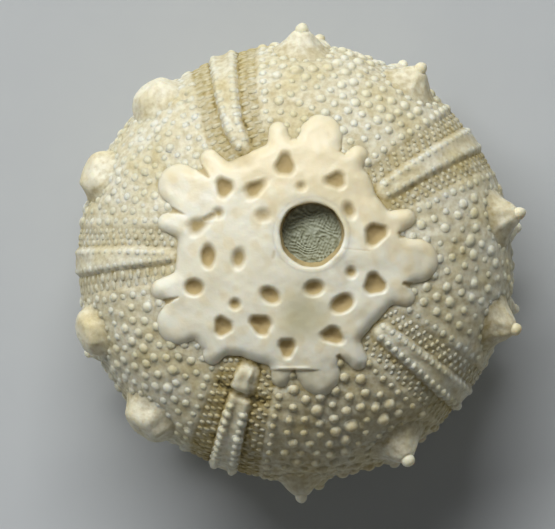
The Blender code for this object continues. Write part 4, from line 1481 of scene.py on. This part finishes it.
def sedimentField(flat, wavelength, seed):
    length, bend = wavelength * marlRipples["bendLength"], wavelength * marlRipples["bend"]
    bendX, bendY = (unevenness(flat, length, seed + order) * bend for order in range(2))
    across = flat[:, 1] + bendY + marlRipples["slant"] * (flat[:, 0] + bendX)
    rough = unevenness(flat, wavelength * marlRipples["roughLength"], seed + 2)
    return np.sin(turn * across / wavelength), rough


def buildPlug(name, plug):
    centre, segments = plug["centre"], plug["segments"]
    facing, wavelength = plug["facing"], plug["wavelength"]
    spin = turn * np.arange(segments) / segments
    share = np.sqrt(np.linspace(0.0005, 1.0, plugRings))
    edge = np.stack([np.cos(spin), np.sin(spin), np.zeros(segments)], axis=-1) * plug["radius"]
    flat = (share[:, None, None] * edge).reshape(-1, 3) + [*centre, 0.0]
    wave, rough = sedimentField(flat, wavelength, plug["seed"])
    least, more = marlRipples["patches"]
    patches = unevenness(flat, wavelength * marlRipples["patchLength"], plug["seed"] + 5)
    wave = wave * np.clip(least + more * patches, 0.1, 1)
    rippled, roughened = marlRipples["shares"]
    drop = plug["ripple"] * (rippled * (1 - wave) + roughened * np.clip(1 + rough, 0, 2))
    level = plug["surface"] - facing * drop
    front = flat + np.outer(level, (0, 0, 1))
    back = edge + [*centre, plug["bottom"]]
    points = np.vstack([front, back, [[*centre, level[0]]], [[*centre, plug["bottom"]]]])
    tip = len(points) - 2
    quads = gridFaces(plugRings + 1, segments, wrap=True)
    fans = np.vstack([capFan(0, segments, tip), capFan(plugRings * segments, segments, tip + 1, flip=True)])
    if facing < 0:
        quads, fans = quads[:, ::-1], fans[:, ::-1]
    crest = np.concatenate([0.5 + 0.5 * wave, np.zeros(segments + 2)])
    nearWall = softStep(*marlRipples["wall"], np.repeat(share, segments))
    nearWall = np.concatenate([nearWall, np.ones(segments), [0, 0]])
    fields = {"crest": crest, "soil": marlRipples["wallSoil"] * nearWall}
    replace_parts(addPiece(name, points, [quads, fans], marl, fields, slot=plug["slot"]), plug["node"])


for name, plug in plugs.items():
    buildPlug(name, plug)


# Floor, light and camera.

stage = {
    "floorSize": 900,
    "floorTones": ("BFC3C5", "C4C8C9"),
    "fibreSize": 2.0,
    "card": {"roughness": 0.8, "ior": 1.45},
    "camera": (-0.49, -0.07),  # the point under the middle of the view
    "frameWidth": 15.54,
    "lens": 1000,
    "sensor": 36,
    "focusHeight": 4.5,
    "clip": (0.01, 2.0),  # in metres
    "aimHeight": 4,
    "key": {"from": (-0.36, 0.98, 0.98), "distance": 300, "size": (330, 85), "watts": 1.06},
    "fill": {"from": (0.1, -0.8, 1.1), "distance": 320, "size": (260, 260), "watts": 0.05},
    "sky": ("E8EAEC", 0.075),
}


def buildFloor():  # matt pale card, with a faint cloud of fibres
    half = stage["floorSize"] / 2 * metresPerMm
    mesh = bpy.data.meshes.new("floor")
    corners = [(-half, -half, 0), (half, -half, 0), (half, half, 0), (-half, half, 0)]
    mesh.from_pydata(corners, [], [(0, 1, 2, 3)])
    material, tree, shader = newMaterial("matPaleCard", stage["card"])
    place = addNode(tree, "ShaderNodeTexCoord").outputs["Object"]
    fibres = addNode(tree, "ShaderNodeTexNoise", {"Scale": perMm(stage["fibreSize"]), "Detail": 2.0},
                     {"Vector": place})
    tones = {6: linearColour(stage["floorTones"][0]), 7: linearColour(stage["floorTones"][1])}
    tone = addNode(tree, "ShaderNodeMix", {"data_type": "RGBA", **tones}, {0: fibres.outputs["Fac"]})
    tree.links.new(tone.outputs[2], shader.inputs["Base Color"])
    mesh.materials.append(material)
    floor = bpy.data.objects.new("floor", mesh)
    bpy.context.scene.collection.objects.link(floor)
    floor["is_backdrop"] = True


def addSoftLight(name, settings):
    data = bpy.data.lights.new(name, "AREA")
    data.shape = "RECTANGLE"
    data.size, data.size_y = (side * metresPerMm for side in settings["size"])
    data.energy = settings["watts"]
    light = bpy.data.objects.new(name, data)
    bpy.context.scene.collection.objects.link(light)
    aim = Vector((0, 0, stage["aimHeight"] * metresPerMm))
    heading = Vector(settings["from"]).normalized()
    light.location = aim + heading * settings["distance"] * metresPerMm
    light.rotation_mode = "QUATERNION"
    light.rotation_quaternion = heading.to_track_quat("Z", "X") @ Quaternion((0, 0, 1), math.pi / 2)
    light.visible_camera = False


def buildSky():
    colour, strength = stage["sky"]
    world = bpy.data.worlds.new("softSky")
    bpy.context.scene.world = world
    world.use_nodes = True
    background = world.node_tree.nodes["Background"]
    background.inputs["Color"].default_value = linearColour(colour)
    background.inputs["Strength"].default_value = strength


def buildCamera():
    data = bpy.data.cameras.new("camera")
    data.lens = stage["lens"]
    data.sensor_width = stage["sensor"]
    data.clip_start, data.clip_end = stage["clip"]
    camera = bpy.data.objects.new("camera", data)
    bpy.context.scene.collection.objects.link(camera)
    distance = stage["frameWidth"] * stage["lens"] / stage["sensor"]
    camera.location = Vector((*stage["camera"], distance + stage["focusHeight"])) * metresPerMm
    bpy.context.scene.camera = camera


buildFloor()
addSoftLight("keyLight", stage["key"])
addSoftLight("fillLight", stage["fill"])
buildSky()
buildCamera()
bpy.context.scene.view_settings.view_transform = "Standard"
print("stage set")

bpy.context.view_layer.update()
boxes = {"cad": cadBox, "visual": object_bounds()}
{name: [list(corner) for corner in box] for name, box in boxes.items()}
